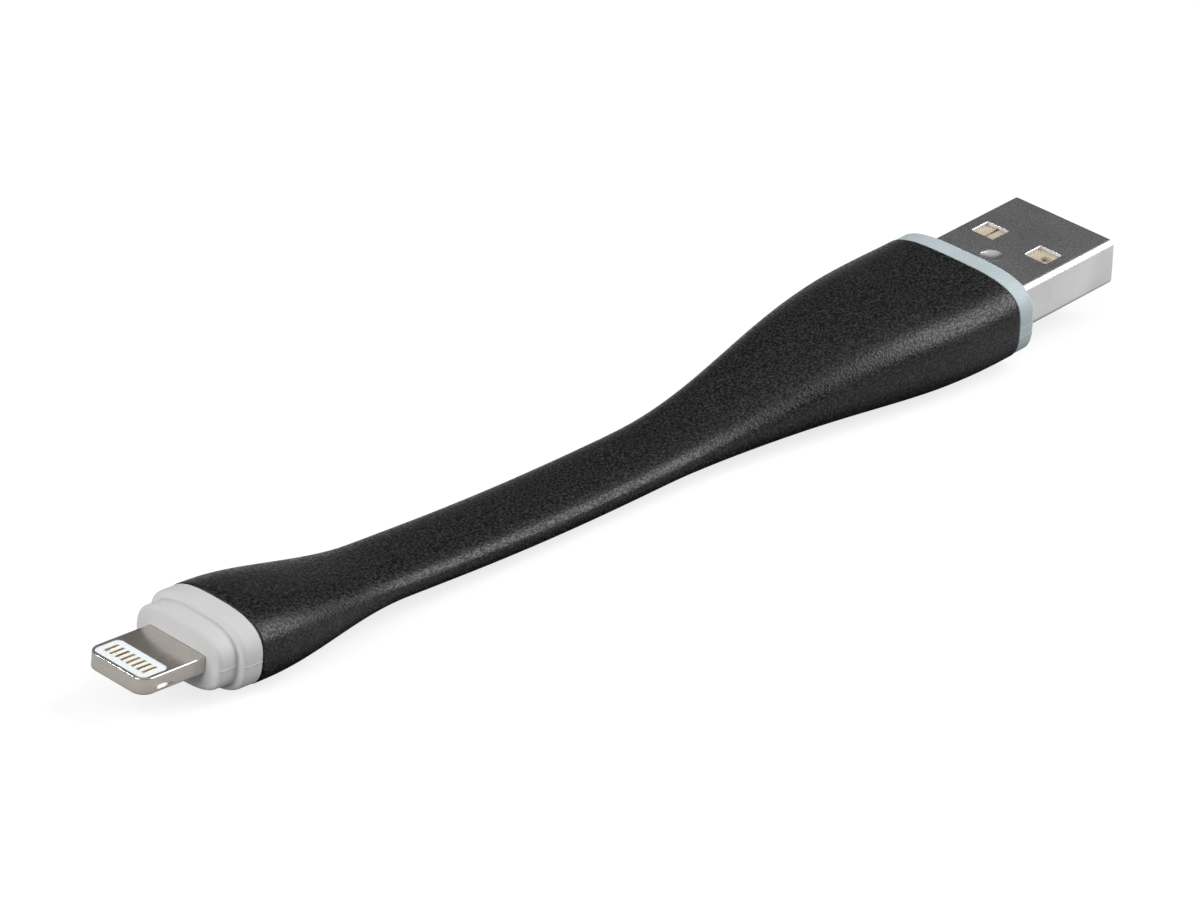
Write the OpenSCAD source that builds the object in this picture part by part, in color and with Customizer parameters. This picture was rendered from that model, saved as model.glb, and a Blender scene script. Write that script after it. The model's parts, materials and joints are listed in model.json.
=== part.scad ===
// Short moulded charging lead: host plug, flexible neck and tab plug in one soft sleeve.
// Units are millimetres. The lead lies on the plane z = 0, long axis along X, host plug towards +X.
// A station is a distance along the lead's centre line, measured from the host plug's tip.

/* [Host plug] */
// Width of the metal shell
host_shell_w = 12; // [10:0.1:13]
// Height of the metal shell
host_shell_h = 4.5; // [4.2:0.1:5.2]
// Sheet thickness of the shell
host_shell_wall = 0.3; // [0.2:0.05:0.4]
// Length of shell that stands out of the collar
host_exposed = 13.4; // [11.8:0.1:16]
// Length of shell that is held inside the moulding
host_shell_held = 5.1; // [4:0.1:7]
// Outside corner radius of the shell
host_shell_r = 0.6; // [0.4:0.05:0.9]
// Width of a latch window
host_window_w = 2.5; // [1.8:0.1:2.8]
// Length of a latch window
host_window_l = 2.25; // [1.8:0.05:2.8]
// Tip to the near edge of a latch window
host_window_at = 5.5; // [4.5:0.1:6]
// Centre-to-centre distance of the two windows on one face
host_window_pitch = 6.3; // [5.5:0.1:6.6]
// Tip to the centre of the locking dimple
host_dimple_at = 10.1; // [9.2:0.1:10.6]
// Radius of the locking dimple at the surface
host_dimple_r = 1.1; // [0.5:0.05:1.3]
// Depth of the locking dimple
host_dimple_depth = 0.25; // [0.15:0.01:0.28]
// Width of the seam where the folded sheet meets underneath
host_seam_w = 0.08; // [0.04:0.01:0.15]
// Thickness of the plastic tongue
host_tongue_t = 1.85; // [1.6:0.05:1.95]
// Tip of the shell to the tip of the tongue
host_tongue_back = 0.4; // [0.2:0.1:1]
// Width of one contact strip
host_contact_w = 1; // [0.8:0.05:1.2]
// Thickness of one contact strip
host_contact_t = 0.25; // [0.2:0.01:0.3]
// Centre line to an inner contact
host_contact_inner_y = 1; // [0.8:0.05:1.3]
// Centre line to an outer contact
host_contact_outer_y = 3.5; // [3.2:0.05:3.8]
// Tip to the front of the outer contacts
host_contact_outer_at = 1.16; // [1:0.02:1.6]
// Tip to the front of the inner contacts
host_contact_inner_at = 2.16; // [1.8:0.02:2.8]
// Tip to the full-height block behind the tongue
host_block_at = 12; // [11.8:0.1:13]
// Length of that block
host_block_l = 4; // [3:0.1:4.2]

/* [Host collar and grip] */
// Width of the sleeve at the host end
host_grip_w = 16.3; // [15.6:0.1:18]
// Height of the sleeve at the host end
host_grip_h = 8.3; // [8:0.1:10]
// Squareness exponent of the host end's section
host_grip_n = 3.4; // [2.8:0.1:4.5]
// Thickness of the light collar
host_collar_l = 2.05; // [1.5:0.05:3]
// Step from the sleeve's outline in to the collar's outline
host_collar_step = 0.06; // [0:0.01:0.3]
// Radius of the collar's front edge
host_collar_r = 0.4; // [0.2:0.05:0.8]
// Straight length of the grip before its width draws in
host_grip_straight_w = 3.5; // [1:0.5:8]
// Straight length of the grip before its height draws in
host_grip_straight_h = 8; // [4:0.5:12]
// Distance from the collar over which the grip's width draws in
host_flare_w = 40; // [37:0.5:44]
// Distance from the collar over which the grip's height draws in
host_flare_h = 42; // [38:0.5:46]
// How far the grip's back stands above the plug's axis
host_camber = 0.6; // [0:0.05:0.8]
// Length of the cambered stretch
host_camber_l = 38; // [30:1:44]

/* [Neck] */
// Width of the flat neck
neck_w = 8.05; // [7.8:0.05:9]
// Height of the flat neck
neck_h = 3.06; // [3:0.02:3.6]
// Squareness exponent of the neck's section
neck_n = 2.55; // [2.3:0.05:3.5]
// Length of the whole sleeve
sleeve_l = 89.8; // [86:0.2:100]
// Collar to the start of the flexing stretch
flex_at = 36; // [34:0.5:38]
// Length of one flexing section
flex_pitch = 3.6; // [3:0.1:3.7]
// Turn of the centre line that is moulded in, degrees
rest_bend = 6.14; // [0:0.1:12]
// Length of the stretch that is moulded as an arc
rest_bend_l = 40; // [30:1:44]
// Station of the middle of that arc
rest_bend_at = 59.8; // [56:0.2:64]
// How far the neck's middle sags below the arc
neck_sag = 0.2; // [0:0.02:0.3]

/* [Device grip and collar] */
// Width of the sleeve at the device end
device_grip_w = 11.5; // [11:0.1:13]
// Height of the sleeve at the device end
device_grip_h = 6.7; // [6.4:0.1:8]
// Squareness exponent of the device end's section
device_grip_n = 2.85; // [2.6:0.05:4]
// Distance from the collar over which the grip's width draws in
device_flare_w = 17.8; // [16:0.2:20]
// Straight length of the grip before its width draws in
device_grip_straight_w = 1.8; // [0:0.2:4]
// Distance from the collar over which the grip's height draws in
device_flare_h = 18.8; // [17:0.2:21]
// Length of the collar's rear step
device_step_l = 2.05; // [1.6:0.05:3]
// Length of the collar's front step
device_front_l = 2; // [1.6:0.05:3]
// How far the front step stands in from the rear step at the sides
device_front_in_w = 0.7; // [0.6:0.05:1]
// How far the front step stands in from the rear step above and below
device_front_in_h = 0.55; // [0.5:0.05:0.8]
// Radius of the rear step's front edge
device_step_r = 0.45; // [0.2:0.05:0.45]
// Radius of the front step's front edge
device_front_r = 0.4; // [0.2:0.05:0.6]
// Step from the sleeve's outline in to the collar's outline
device_collar_step = 0.05; // [0:0.01:0.2]

/* [Tab plug] */
// Width of the tab
tab_w = 6.7; // [6.4:0.05:7]
// Thickness of the tab
tab_t = 1.5; // [1.4:0.02:1.6]
// Length of tab that stands out of the collar
tab_l = 6.77; // [6.4:0.05:7.4]
// Corner radius of the tab's tip, seen from above
tab_tip_r = 1.2; // [0.8:0.05:1.5]
// Length of tab that is held inside the collar
tab_held = 3; // [2.4:0.1:3.6]
// Tip of the tab to the front of the contact window
tab_window_at = 0.3; // [0.25:0.01:0.4]
// Length of the contact window
tab_window_l = 2.95; // [2.6:0.05:3.2]
// Width of the contact window
tab_window_w = 6; // [5.8:0.05:6]
// Corner radius of the contact window
tab_window_r = 0.6; // [0.3:0.05:0.8]
// Length of one contact pad
tab_contact_l = 1.5; // [1.2:0.05:1.8]
// Width of one contact pad
tab_contact_w = 0.34; // [0.26:0.01:0.4]
// Centre-to-centre distance of the pads
tab_contact_pitch = 0.63; // [0.6:0.01:0.66]
// Depth of the side latch recess
tab_latch_depth = 0.2; // [0.1:0.01:0.22]
// Length of the side latch recess
tab_latch_l = 2.2; // [1.8:0.1:2.6]
// Tip of the tab to the middle of the latch recess
tab_latch_at = 2.45; // [2.2:0.05:2.9]
// Height of the side latch recess
tab_latch_h = 0.9; // [0.6:0.05:1.1]

/* [Inner lead] */
// Width of the flat jacket
jacket_w = 5.2; // [5.1:0.05:5.6]
// Height of the flat jacket
jacket_h = 2; // [1.9:0.05:2.1]
// Wall of the jacket
jacket_wall = 0.42; // [0.35:0.01:0.43]
// Thickness of the foil shield
foil_t = 0.06; // [0.04:0.01:0.08]
// Diameter of an insulated wire
wire_d = 0.86; // [0.7:0.02:0.88]
// Diameter of a wire's copper core
core_d = 0.42; // [0.3:0.02:0.5]
// Centre-to-centre distance of the wires
wire_pitch = 1; // [0.92:0.02:1]
// Diameter of the drain wire and of the strength fibre
drain_d = 0.24; // [0.16:0.02:0.26]

/* [Device board] */
// Thickness of the circuit board
board_t = 0.5; // [0.4:0.05:0.6]
// Width of the board behind the tab
board_w = 6.6; // [6:0.1:7]
// Board's rear edge to the tab's root
board_rear = 11.6; // [11:0.1:12]
// Width of the board's narrow front
board_front_w = 5.4; // [5:0.1:5.6]
// Edge length of the control chip
chip_w = 2.4; // [1.8:0.1:2.8]
// Height of the control chip
chip_h = 0.7; // [0.5:0.05:0.75]
// Sheet thickness of the shield cans
can_t = 0.15; // [0.1:0.01:0.18]
// Height of a shield can above the board
can_h = 1.05; // [1:0.01:1.08]

/* [Inner moulds] */
// Width of the host end's inner mould
host_mould_w = 13.1; // [12.8:0.1:13.6]
// Height of the host end's inner mould
host_mould_h = 5.7; // [5.5:0.1:6]
// Station where the host end's inner mould ends
host_mould_end = 27.5; // [26.9:0.1:29]
// Width of the device end's inner mould
device_mould_w = 8; // [7.8:0.1:8.4]
// Height of the device end's inner mould
device_mould_h = 3.6; // [3.5:0.05:3.9]
// Tab root to the end of the device end's inner mould
device_mould_end = 14.4; // [14:0.1:15]

/* [Fits] */
// Clearance between a moulding and the piece it was moulded on
mould_fit = 0.05; // [0.03:0.01:0.08]
// Clearance between small inner pieces
small_fit = 0.02; // [0.01:0.005:0.03]

/* [Hidden] */

sleeve_sides = 32;
cable_sides = 16;
wire_sides = 8;
round_fn = 32;
over = 1;                          // how far a cutter runs past the face it cuts

// Stations along the centre line.
sleeve_start = host_exposed + host_collar_l;
sleeve_end = sleeve_start + sleeve_l;
tab_root = sleeve_end + device_step_l + device_front_l;
host_shell_l = host_exposed + host_shell_held;
bend_start = rest_bend_at - rest_bend_l / 2;
bend_r = rest_bend > 0 ? rest_bend_l / (rest_bend * PI / 180) : 0;
hinges = 10;
first_hinge = sleeve_start + flex_at + flex_pitch / 2;
function hinge_at(i) = first_hinge + i * flex_pitch;
last_hinge = hinge_at(hinges - 1);

// ---- centre line -------------------------------------------------------------------------
function clamp01(v) = min(1, max(0, v));
function smooth(v) = let (u = clamp01(v)) u * u * (3 - 2 * u);
function bump(v) = let (u = clamp01(v)) pow(sin(180 * u), 2);

// Turn of the centre line at a station, in degrees.
function turn(s) = rest_bend * clamp01((s - bend_start) / rest_bend_l);

// The moulded arc in the host plug's own frame: x and z at a station.
function arc_x(s) = let (w = turn(s), past = max(0, s - bend_start - rest_bend_l))
    s <= bend_start || rest_bend == 0 ? -s : -bend_start - bend_r * sin(w) - past * cos(w);
function arc_z(s) = let (w = turn(s), past = max(0, s - bend_start - rest_bend_l))
    s <= bend_start || rest_bend == 0 ? 0 : bend_r * (1 - cos(w)) + past * sin(w);

// Height of the sleeve's middle above the arc, and the same for the lead inside it.
function camber(s) = let (u = s - sleeve_start)
    host_camber * bump(u / host_camber_l)
    - neck_sag * bump((u - host_camber_l * 0.8) / (sleeve_l - host_camber_l * 0.8));
lead_free = host_mould_end + 1;    // behind the host mould the lead starts to follow the camber
lead_rise = 8;
lead_level = tab_root - device_mould_end;
function lead_camber(s) = s >= lead_level ? 0
    : camber(s) * smooth((s - lead_free) / lead_rise) * smooth((lead_level - s) / lead_rise);

// A point at a station, y to the side and z above the centre line, in the host plug's frame.
function plug_point(s, y, z) = [arc_x(s) + z * sin(turn(s)), y, arc_z(s) + z * cos(turn(s))];

// Half sizes and squareness of the sleeve at a station.
function grip_mix(s, straight, flare) = 1 - smooth((s - straight) / (flare - straight));
function half_w(s) = let (u = s - sleeve_start, v = sleeve_end - s)
    (neck_w + (host_grip_w - neck_w) * grip_mix(u, host_grip_straight_w, host_flare_w)
    + (device_grip_w - neck_w) * grip_mix(v, device_grip_straight_w, device_flare_w)) / 2;
function half_h(s) = let (u = s - sleeve_start, v = sleeve_end - s)
    (neck_h + (host_grip_h - neck_h) * grip_mix(u, host_grip_straight_h, host_flare_h)
    + (device_grip_h - neck_h) * grip_mix(v, 0, device_flare_h)) / 2;
function square_n(s) = let (u = s - sleeve_start, v = sleeve_end - s)
    neck_n + (host_grip_n - neck_n) * grip_mix(u, 0, host_flare_w)
    + (device_grip_n - neck_n) * grip_mix(v, 0, device_flare_w);

// ---- lying on the plane ------------------------------------------------------------------
// The tilt that brings the undersides of both grips to the same height.
grip_stations = [for (i = [0:18]) sleeve_start + (first_hinge - sleeve_start) * i / 18];
device_stations = [for (i = [0:12]) last_hinge + (sleeve_end - last_hinge) * i / 12];
function under(s) = plug_point(s, 0, camber(s) - half_h(s));
host_foot = under(sleeve_start + host_grip_straight_h);
device_foot = under(sleeve_end);
lie = atan2(device_foot[2] - host_foot[2], host_foot[0] - device_foot[0]);
function tilt(p) = [p[0] * cos(lie) - p[2] * sin(lie), p[1], p[0] * sin(lie) + p[2] * cos(lie)];
floor_z = min([for (s = concat(grip_stations, device_stations)) tilt(under(s))[2]]);
tip_x = tilt([0, 0, -host_shell_h / 2])[0];
tail_x = tilt(plug_point(tab_root + tab_l, 0, -tab_t / 2))[0];
middle_x = (tip_x + tail_x) / 2;
function row(p) = let (q = tilt(p)) [q[0] - middle_x, q[1], q[2] - floor_z];
function at(s, y, z) = row(plug_point(s, y, z));

module in_host_frame() {
    translate([-middle_x, 0, -floor_z]) rotate([0, -lie, 0]) children();
}
module in_device_frame() {
    translate(at(tab_root, 0, 0)) rotate([0, rest_bend - lie, 0]) children();
}

// ---- sections and lofts ------------------------------------------------------------------
function signed_pow(v, e) = sign(v) * pow(abs(v), e);
function section(a, b, n, sides) = [for (i = [0:sides - 1]) let (t = 360 * i / sides)
    [a * signed_pow(cos(t), 2 / n), b * signed_pow(sin(t), 2 / n)]];
function ring_at(s, outline, lift) = [for (p = outline) at(s, p[0], p[1] + lift)];
function sleeve_ring(s) =
    ring_at(s, section(half_w(s), half_h(s), square_n(s), sleeve_sides), camber(s));

function skirt(rings, sides, first, flip) = [for (k = [0:rings - 2], i = [0:sides - 1], h = [0, 1])
    let (a = first + k * sides + i, b = first + k * sides + (i + 1) % sides,
         c = a + sides, d = b + sides,
         f = h == 0 ? [a, b, d] : [a, d, c])
    flip ? [f[2], f[1], f[0]] : f];
function annulus(sides, outer, inner, flip) = [for (i = [0:sides - 1], h = [0, 1])
    let (j = (i + 1) % sides,
         f = h == 0 ? [outer + i, inner + i, inner + j] : [outer + i, inner + j, outer + j])
    flip ? [f[2], f[1], f[0]] : f];
function flat_list(rings) = [for (r = rings, p = r) p];

// A closed solid through rings that all have the same number of points.
module loft(rings) {
    sides = len(rings[0]);
    last = (len(rings) - 1) * sides;
    polyhedron(
        points = flat_list(rings),
        faces = concat(
            skirt(len(rings), sides, 0, false),
            [[for (i = [sides - 1:-1:0]) i], [for (i = [0:sides - 1]) last + i]]));
}

// The same with a passage through it.
module hollow_loft(outer, inner) {
    sides = len(outer[0]);
    outer_count = len(outer) * sides;
    inner_last = outer_count + (len(inner) - 1) * sides;
    polyhedron(
        points = concat(flat_list(outer), flat_list(inner)),
        faces = concat(
            skirt(len(outer), sides, 0, false),
            skirt(len(inner), sides, outer_count, true),
            annulus(sides, 0, outer_count, false),
            annulus(sides, outer_count - sides, inner_last, true)));
}

// A prism along X, from x = start to x = end. Its outline is drawn as (z, y).
module along(start, end) {
    translate([end, 0, 0]) rotate([0, -90, 0]) linear_extrude(end - start) children();
}
module outline_of(points) {
    polygon([for (p = points) [p[1], p[0]]]);
}
module rounded_rect(l, w, r) {
    square([l - 2 * r, w], center = true);
    square([l, w - 2 * r], center = true);
    for (x = [-1, 1], y = [-1, 1])
        translate([x * (l / 2 - r), y * (w / 2 - r)]) circle(r, $fn = round_fn);
}
module box(x0, x1, w, z0, z1, y = 0) {
    translate([x0, y - w / 2, z0]) cube([x1 - x0, w, z1 - z0]);
}

// ---- host plug ---------------------------------------------------------------------------
// In the host frame the tip is at x = 0 and the lead runs towards -X.
shell_in_w = host_shell_w - 2 * host_shell_wall;
shell_in_h = host_shell_h - 2 * host_shell_wall;
tongue_w = shell_in_w - 2 * host_shell_r;
tongue_top = shell_in_h / 2 - small_fit;
tongue_bottom = tongue_top - host_tongue_t;
contact_proud = 0.03;
contact_bottom = tongue_bottom - contact_proud;
contact_top = contact_bottom + host_contact_t;
contact_tail = 1.5;                // length of the solder tail behind the block
block_end = host_block_at + host_block_l;
contact_end = block_end + contact_tail;
contact_ys = [host_contact_outer_y, host_contact_inner_y, -host_contact_inner_y,
    -host_contact_outer_y];
contact_fronts = [host_contact_outer_at, host_contact_inner_at, host_contact_inner_at,
    host_contact_outer_at];
dimple_ball = (pow(host_dimple_r, 2) + pow(host_dimple_depth, 2)) / (2 * host_dimple_depth);
boss_r = host_dimple_r + 0.25;
window_mid = host_window_at + host_window_l / 2;

module host_shell() {
    color("silver") in_host_frame() difference() {
        union() {
            difference() {
                along(-host_shell_l, 0) rounded_rect(host_shell_h, host_shell_w, host_shell_r);
                along(-host_shell_l - over, over)
                    rounded_rect(shell_in_h, shell_in_w, host_shell_r - host_shell_wall);
            }
            for (side = [0, 1]) mirror([0, 0, side])
                translate([-host_dimple_at, 0, shell_in_h / 2 - host_dimple_depth])
                    cylinder(r = boss_r, h = host_dimple_depth, $fn = round_fn);
        }
        for (side = [0, 1], y = [-1, 1]) mirror([0, 0, side])
            box(-host_window_at - host_window_l, -host_window_at, host_window_w,
                shell_in_h / 2 - over / 2, host_shell_h, y * host_window_pitch / 2);
        for (side = [0, 1]) mirror([0, 0, side])
            translate([-host_dimple_at, 0, host_shell_h / 2 + dimple_ball - host_dimple_depth])
                sphere(dimple_ball, $fn = round_fn);
        box(-host_shell_l - over, -host_dimple_at - boss_r - host_seam_w, host_seam_w,
            -host_shell_h, -host_shell_h / 2 + host_shell_wall + small_fit);
        box(-host_dimple_at + boss_r + host_seam_w, over, host_seam_w,
            -host_shell_h, -host_shell_h / 2 + host_shell_wall + small_fit);
    }
}

module host_contact_bar(i, fit) {
    box(-contact_end - fit, -contact_fronts[i] + fit, host_contact_w + 2 * fit,
        contact_bottom - fit, contact_top + fit, contact_ys[i]);
}

module host_tongue() {
    slot_w = 0.3;
    slot_depth = 0.7;
    peep_r = 0.5;
    color("antiquewhite") in_host_frame() difference() {
        union() {
            box(-block_end, -host_tongue_back, tongue_w, tongue_bottom, tongue_top);
            box(-block_end, -host_block_at, tongue_w, -tongue_top, tongue_top);
        }
        for (i = [0:3]) host_contact_bar(i, small_fit);
        translate([-host_dimple_at, 0, shell_in_h / 2 - host_dimple_depth - small_fit])
            cylinder(r = boss_r + small_fit, h = over, $fn = round_fn);
        // A moulding slot shows in one window, and the back of a contact in the other.
        box(-window_mid - host_window_l, -window_mid + host_window_l, slot_w,
            tongue_top - slot_depth, tongue_top + over, host_window_pitch / 2);
        translate([-window_mid, -host_contact_outer_y, contact_bottom])
            cylinder(r = peep_r, h = host_shell_h, $fn = round_fn);
    }
}

module host_contact(i) {
    color("goldenrod") in_host_frame() host_contact_bar(i, 0);
}
module host_contact_power() { host_contact(0); }
module host_contact_data_minus() { host_contact(1); }
module host_contact_data_plus() { host_contact(2); }
module host_contact_ground() { host_contact(3); }

clamp_t = 0.3;                     // sheet thickness of the crimp clamp
clamp_w = 4;
clamp_from = block_end + 1;
clamp_drop = host_shell_l - 0.4;   // where its sheet steps down behind the shell's rear
clamp_ring_l = 2.4;
clamp_ring_to = host_mould_end - 1.5;
clamp_ring_from = clamp_ring_to - clamp_ring_l;
clamp_z = jacket_h / 2 + small_fit;

module host_crimp_clamp() {
    jacket = section(jacket_w / 2 + small_fit, clamp_z, cable_n, cable_sides);
    barrel = section(jacket_w / 2 + small_fit + clamp_t, clamp_z + clamp_t, cable_n, cable_sides);
    color("lightsteelblue") in_host_frame() {
        box(-clamp_drop, -clamp_from, clamp_w, tongue_top - clamp_t, tongue_top);
        box(-clamp_drop, -clamp_drop + clamp_t, clamp_w, clamp_z, tongue_top);
        difference() {
            union() {
                box(-clamp_ring_from - clamp_t, -clamp_drop, clamp_w, clamp_z, clamp_z + clamp_t);
                along(-clamp_ring_to, -clamp_ring_from) outline_of(barrel);
            }
            along(-clamp_ring_to - over, -clamp_ring_from + over) outline_of(jacket);
        }
    }
}

// Wires meet the contact tails from below.
core_r = core_d / 2;
solder_film = 0.08;                // solder between a core and its pad
solder_t = 0.16;                   // solder on the core's other side
host_wire_z = contact_bottom - solder_film - core_r;
host_strip = contact_end + 0.5;    // station where the insulation starts
host_core_start = block_end + 0.4;
solder_w = 0.9;
module solder_block(x0, x1, y, z0, z1, core_z) {
    difference() {
        box(x0, x1, solder_w, z0, z1, y);
        translate([x0 - over, y, core_z]) rotate([0, 90, 0])
            cylinder(r = core_r + small_fit, h = x1 - x0 + 2 * over, $fn = round_fn);
    }
}
module host_solder_joints() {
    color("gainsboro") in_host_frame() for (y = contact_ys)
        solder_block(-contact_end + small_fit, -host_core_start, y,
            host_wire_z - core_r - solder_t, contact_bottom, host_wire_z);
}

module host_inner_mould() {
    body = section(host_mould_w / 2, host_mould_h / 2, mould_n, sleeve_sides);
    jacket = section(jacket_w / 2 + mould_fit, jacket_h / 2 + mould_fit, cable_n, cable_sides);
    room_w = 9.4;
    room_h = 4.2;
    wall = 1.2;
    color("whitesmoke") in_host_frame() difference() {
        along(-host_mould_end, -sleeve_start) outline_of(body);
        along(-host_shell_l - small_fit, over - sleeve_start)
            rounded_rect(host_shell_h + 2 * small_fit, host_shell_w + 2 * small_fit, host_shell_r);
        box(wall - host_mould_end, over - host_shell_l, room_w, -room_h / 2, room_h / 2);
        along(-host_mould_end - over, over - host_shell_l) outline_of(jacket);
    }
}

fillet_steps = 4;
function fillet(s, r, dir) = [for (k = [0:fillet_steps]) let (q = 90 * k / fillet_steps)
    [s + dir * r * (1 - cos(q)), r * (1 - sin(q))]];

module host_collar() {
    a = host_grip_w / 2 - host_collar_step;
    b = host_grip_h / 2 - host_collar_step;
    steps = concat(fillet(host_exposed, host_collar_r, 1), [[sleeve_start, 0]]);
    color("lightblue") difference() {
        loft([for (f = steps)
            ring_at(f[0], section(a - f[1], b - f[1], host_grip_n, sleeve_sides), 0)]);
        in_host_frame() along(-sleeve_start - over, over - host_exposed)
            rounded_rect(host_shell_h + 2 * small_fit, host_shell_w + 2 * small_fit, host_shell_r);
    }
}

// ---- sleeve ------------------------------------------------------------------------------
cable_n = 4;                       // squareness of the flat lead's section
mould_n = 5;                       // squareness of the inner moulds' sections
function spread(s0, s1, count) = [for (i = [0:count]) s0 + (s1 - s0) * i / count];
function lead_room(s) = ring_at(s, section(jacket_w / 2 + mould_fit, jacket_h / 2 + mould_fit,
    cable_n, sleeve_sides), lead_camber(s));
function mould_room(s, w, h) =
    ring_at(s, section(w / 2 + mould_fit, h / 2 + mould_fit, mould_n, sleeve_sides), 0);

module sleeve_host_grip() {
    behind = host_mould_end + mould_fit;
    color("#1c1c1f") hollow_loft(
        [for (s = grip_stations) sleeve_ring(s)],
        concat([for (s = [sleeve_start, behind]) mould_room(s, host_mould_w, host_mould_h)],
            [for (s = spread(behind, first_hinge, 6)) lead_room(s)]));
}
module sleeve_neck(i) {
    stations = spread(hinge_at(i - 1), hinge_at(i), 2);
    color("#1c1c1f") hollow_loft([for (s = stations) sleeve_ring(s)],
        [for (s = stations) lead_room(s)]);
}
module sleeve_neck_1() { sleeve_neck(1); }
module sleeve_neck_2() { sleeve_neck(2); }
module sleeve_neck_3() { sleeve_neck(3); }
module sleeve_neck_4() { sleeve_neck(4); }
module sleeve_neck_5() { sleeve_neck(5); }
module sleeve_neck_6() { sleeve_neck(6); }
module sleeve_neck_7() { sleeve_neck(7); }
module sleeve_neck_8() { sleeve_neck(8); }
module sleeve_neck_9() { sleeve_neck(9); }
module sleeve_device_grip() {
    before = tab_root - device_mould_end - mould_fit;
    color("#1c1c1f") hollow_loft(
        [for (s = device_stations) sleeve_ring(s)],
        concat([for (s = spread(last_hinge, before, 3)) lead_room(s)],
            [for (s = [before, sleeve_end]) mould_room(s, device_mould_w, device_mould_h)]));
}

// ---- inner lead --------------------------------------------------------------------------
lead_start = clamp_ring_from - 0.6;
lead_end = tab_root - device_mould_end + 0.7;
lead_rings = ceil((lead_end - lead_start) / 4.5);
lead_stations = spread(lead_start, lead_end, lead_rings);
function lead_ring(s, a, b) = ring_at(s, section(a, b, cable_n, cable_sides), lead_camber(s));
foil_w = jacket_w / 2 - jacket_wall - small_fit;
foil_h = jacket_h / 2 - jacket_wall - small_fit;

module cable_jacket() {
    color("dimgray") hollow_loft(
        [for (s = lead_stations) lead_ring(s, jacket_w / 2, jacket_h / 2)],
        [for (s = lead_stations)
            lead_ring(s, jacket_w / 2 - jacket_wall, jacket_h / 2 - jacket_wall)]);
}
module foil_shield() {
    color("silver") hollow_loft(
        [for (s = lead_stations) lead_ring(s, foil_w, foil_h)],
        [for (s = lead_stations) lead_ring(s, foil_w - foil_t, foil_h - foil_t)]);
}

// A wire runs side by side with the others in the lead and fans out to its pads at both ends.
device_strip = tab_root - board_rear - 0.3;
device_core_end = tab_root - board_rear + 1;
pad_pitch = 1.5;
device_wire_z = board_t / 2 + solder_film + core_r;
fan_to = lead_start - 0.3;
fan_back = lead_end + 0.2;
function lane(i) = (1.5 - i) * wire_pitch;
function pad_y(i) = (1.5 - i) * pad_pitch;
function wire_y(i, s) = lane(i)
    + (contact_ys[i] - lane(i)) * (1 - smooth((s - host_strip) / (fan_to - host_strip)))
    + (pad_y(i) - lane(i)) * smooth((s - fan_back) / (device_strip - fan_back));
function wire_z(s) = lead_camber(s)
    + host_wire_z * (1 - smooth((s - host_strip) / (fan_to - host_strip)))
    + device_wire_z * smooth((s - fan_back) / (device_strip - fan_back));
function wire_stations(s0, s1) = concat([s0], spread(host_strip + 0.1, fan_to, 5),
    lead_stations, spread(fan_back, device_strip - 0.1, 4), [s1]);
function wire_ring(i, s, r) = [for (k = [0:wire_sides - 1]) let (t = 360 * k / wire_sides)
    at(s, wire_y(i, s) + r * cos(t), wire_z(s) + r * sin(t))];

module wire_insulation(i, tint) {
    stations = wire_stations(host_strip, device_strip);
    color(tint) hollow_loft([for (s = stations) wire_ring(i, s, wire_d / 2)],
        [for (s = stations) wire_ring(i, s, core_r + small_fit)]);
}
module wire_core(i) {
    color("chocolate") loft([for (s = wire_stations(host_core_start + small_fit, device_core_end))
        wire_ring(i, s, core_r)]);
}
module wire_power_insulation() { wire_insulation(0, "firebrick"); }
module wire_data_minus_insulation() { wire_insulation(1, "white"); }
module wire_data_plus_insulation() { wire_insulation(2, "seagreen"); }
module wire_ground_insulation() { wire_insulation(3, "black"); }
module wire_power_core() { wire_core(0); }
module wire_data_minus_core() { wire_core(1); }
module wire_data_plus_core() { wire_core(2); }
module wire_ground_core() { wire_core(3); }

// Two thin strands lie in the hollow between the middle wires, above and below.
module strand(side) {
    up = foil_h - foil_t - small_fit - drain_d / 2;
    loft([for (s = lead_stations) [for (k = [0:wire_sides - 1]) let (t = 360 * k / wire_sides)
        at(s, drain_d / 2 * cos(t), lead_camber(s) + side * up + drain_d / 2 * sin(t))]]);
}
module drain_wire() { color("silver") strand(1); }
module strength_fibre() { color("gold") strand(-1); }

// ---- tab plug ----------------------------------------------------------------------------
// In the device frame the tab's root is at x = 0, its tip is at x = -tab_l.
tab_window_mid = tab_window_at + tab_window_l / 2 - tab_l;
tab_room_h = board_t + 0.1;
tab_room_w = board_front_w + 0.1;
pad_proud = 0.01;

module tab_outline() {
    translate([tab_tip_r - tab_l, -tab_w / 2]) square([tab_l - tab_tip_r + tab_held, tab_w]);
    translate([-tab_l, tab_tip_r - tab_w / 2]) square([tab_l, tab_w - 2 * tab_tip_r]);
    for (side = [-1, 1])
        translate([tab_tip_r - tab_l, side * (tab_w / 2 - tab_tip_r)])
            circle(tab_tip_r, $fn = 2 * round_fn);
}
module tab_shell() {
    latch_r = (pow(tab_latch_l / 2, 2) + pow(tab_latch_depth, 2)) / (2 * tab_latch_depth);
    color("tan") in_device_frame() difference() {
        translate([0, 0, -tab_t / 2]) linear_extrude(tab_t) tab_outline();
        translate([tab_window_mid, 0, -tab_t]) linear_extrude(2 * tab_t)
            rounded_rect(tab_window_l, tab_window_w, tab_window_r);
        box(tab_window_mid, tab_held + over, tab_room_w, -tab_room_h / 2, tab_room_h / 2);
        for (side = [-1, 1])
            translate([tab_latch_at - tab_l, side * (tab_w / 2 + latch_r - tab_latch_depth),
                -tab_latch_h / 2])
                cylinder(r = latch_r, h = tab_latch_h, $fn = 2 * round_fn);
    }
}
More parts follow.
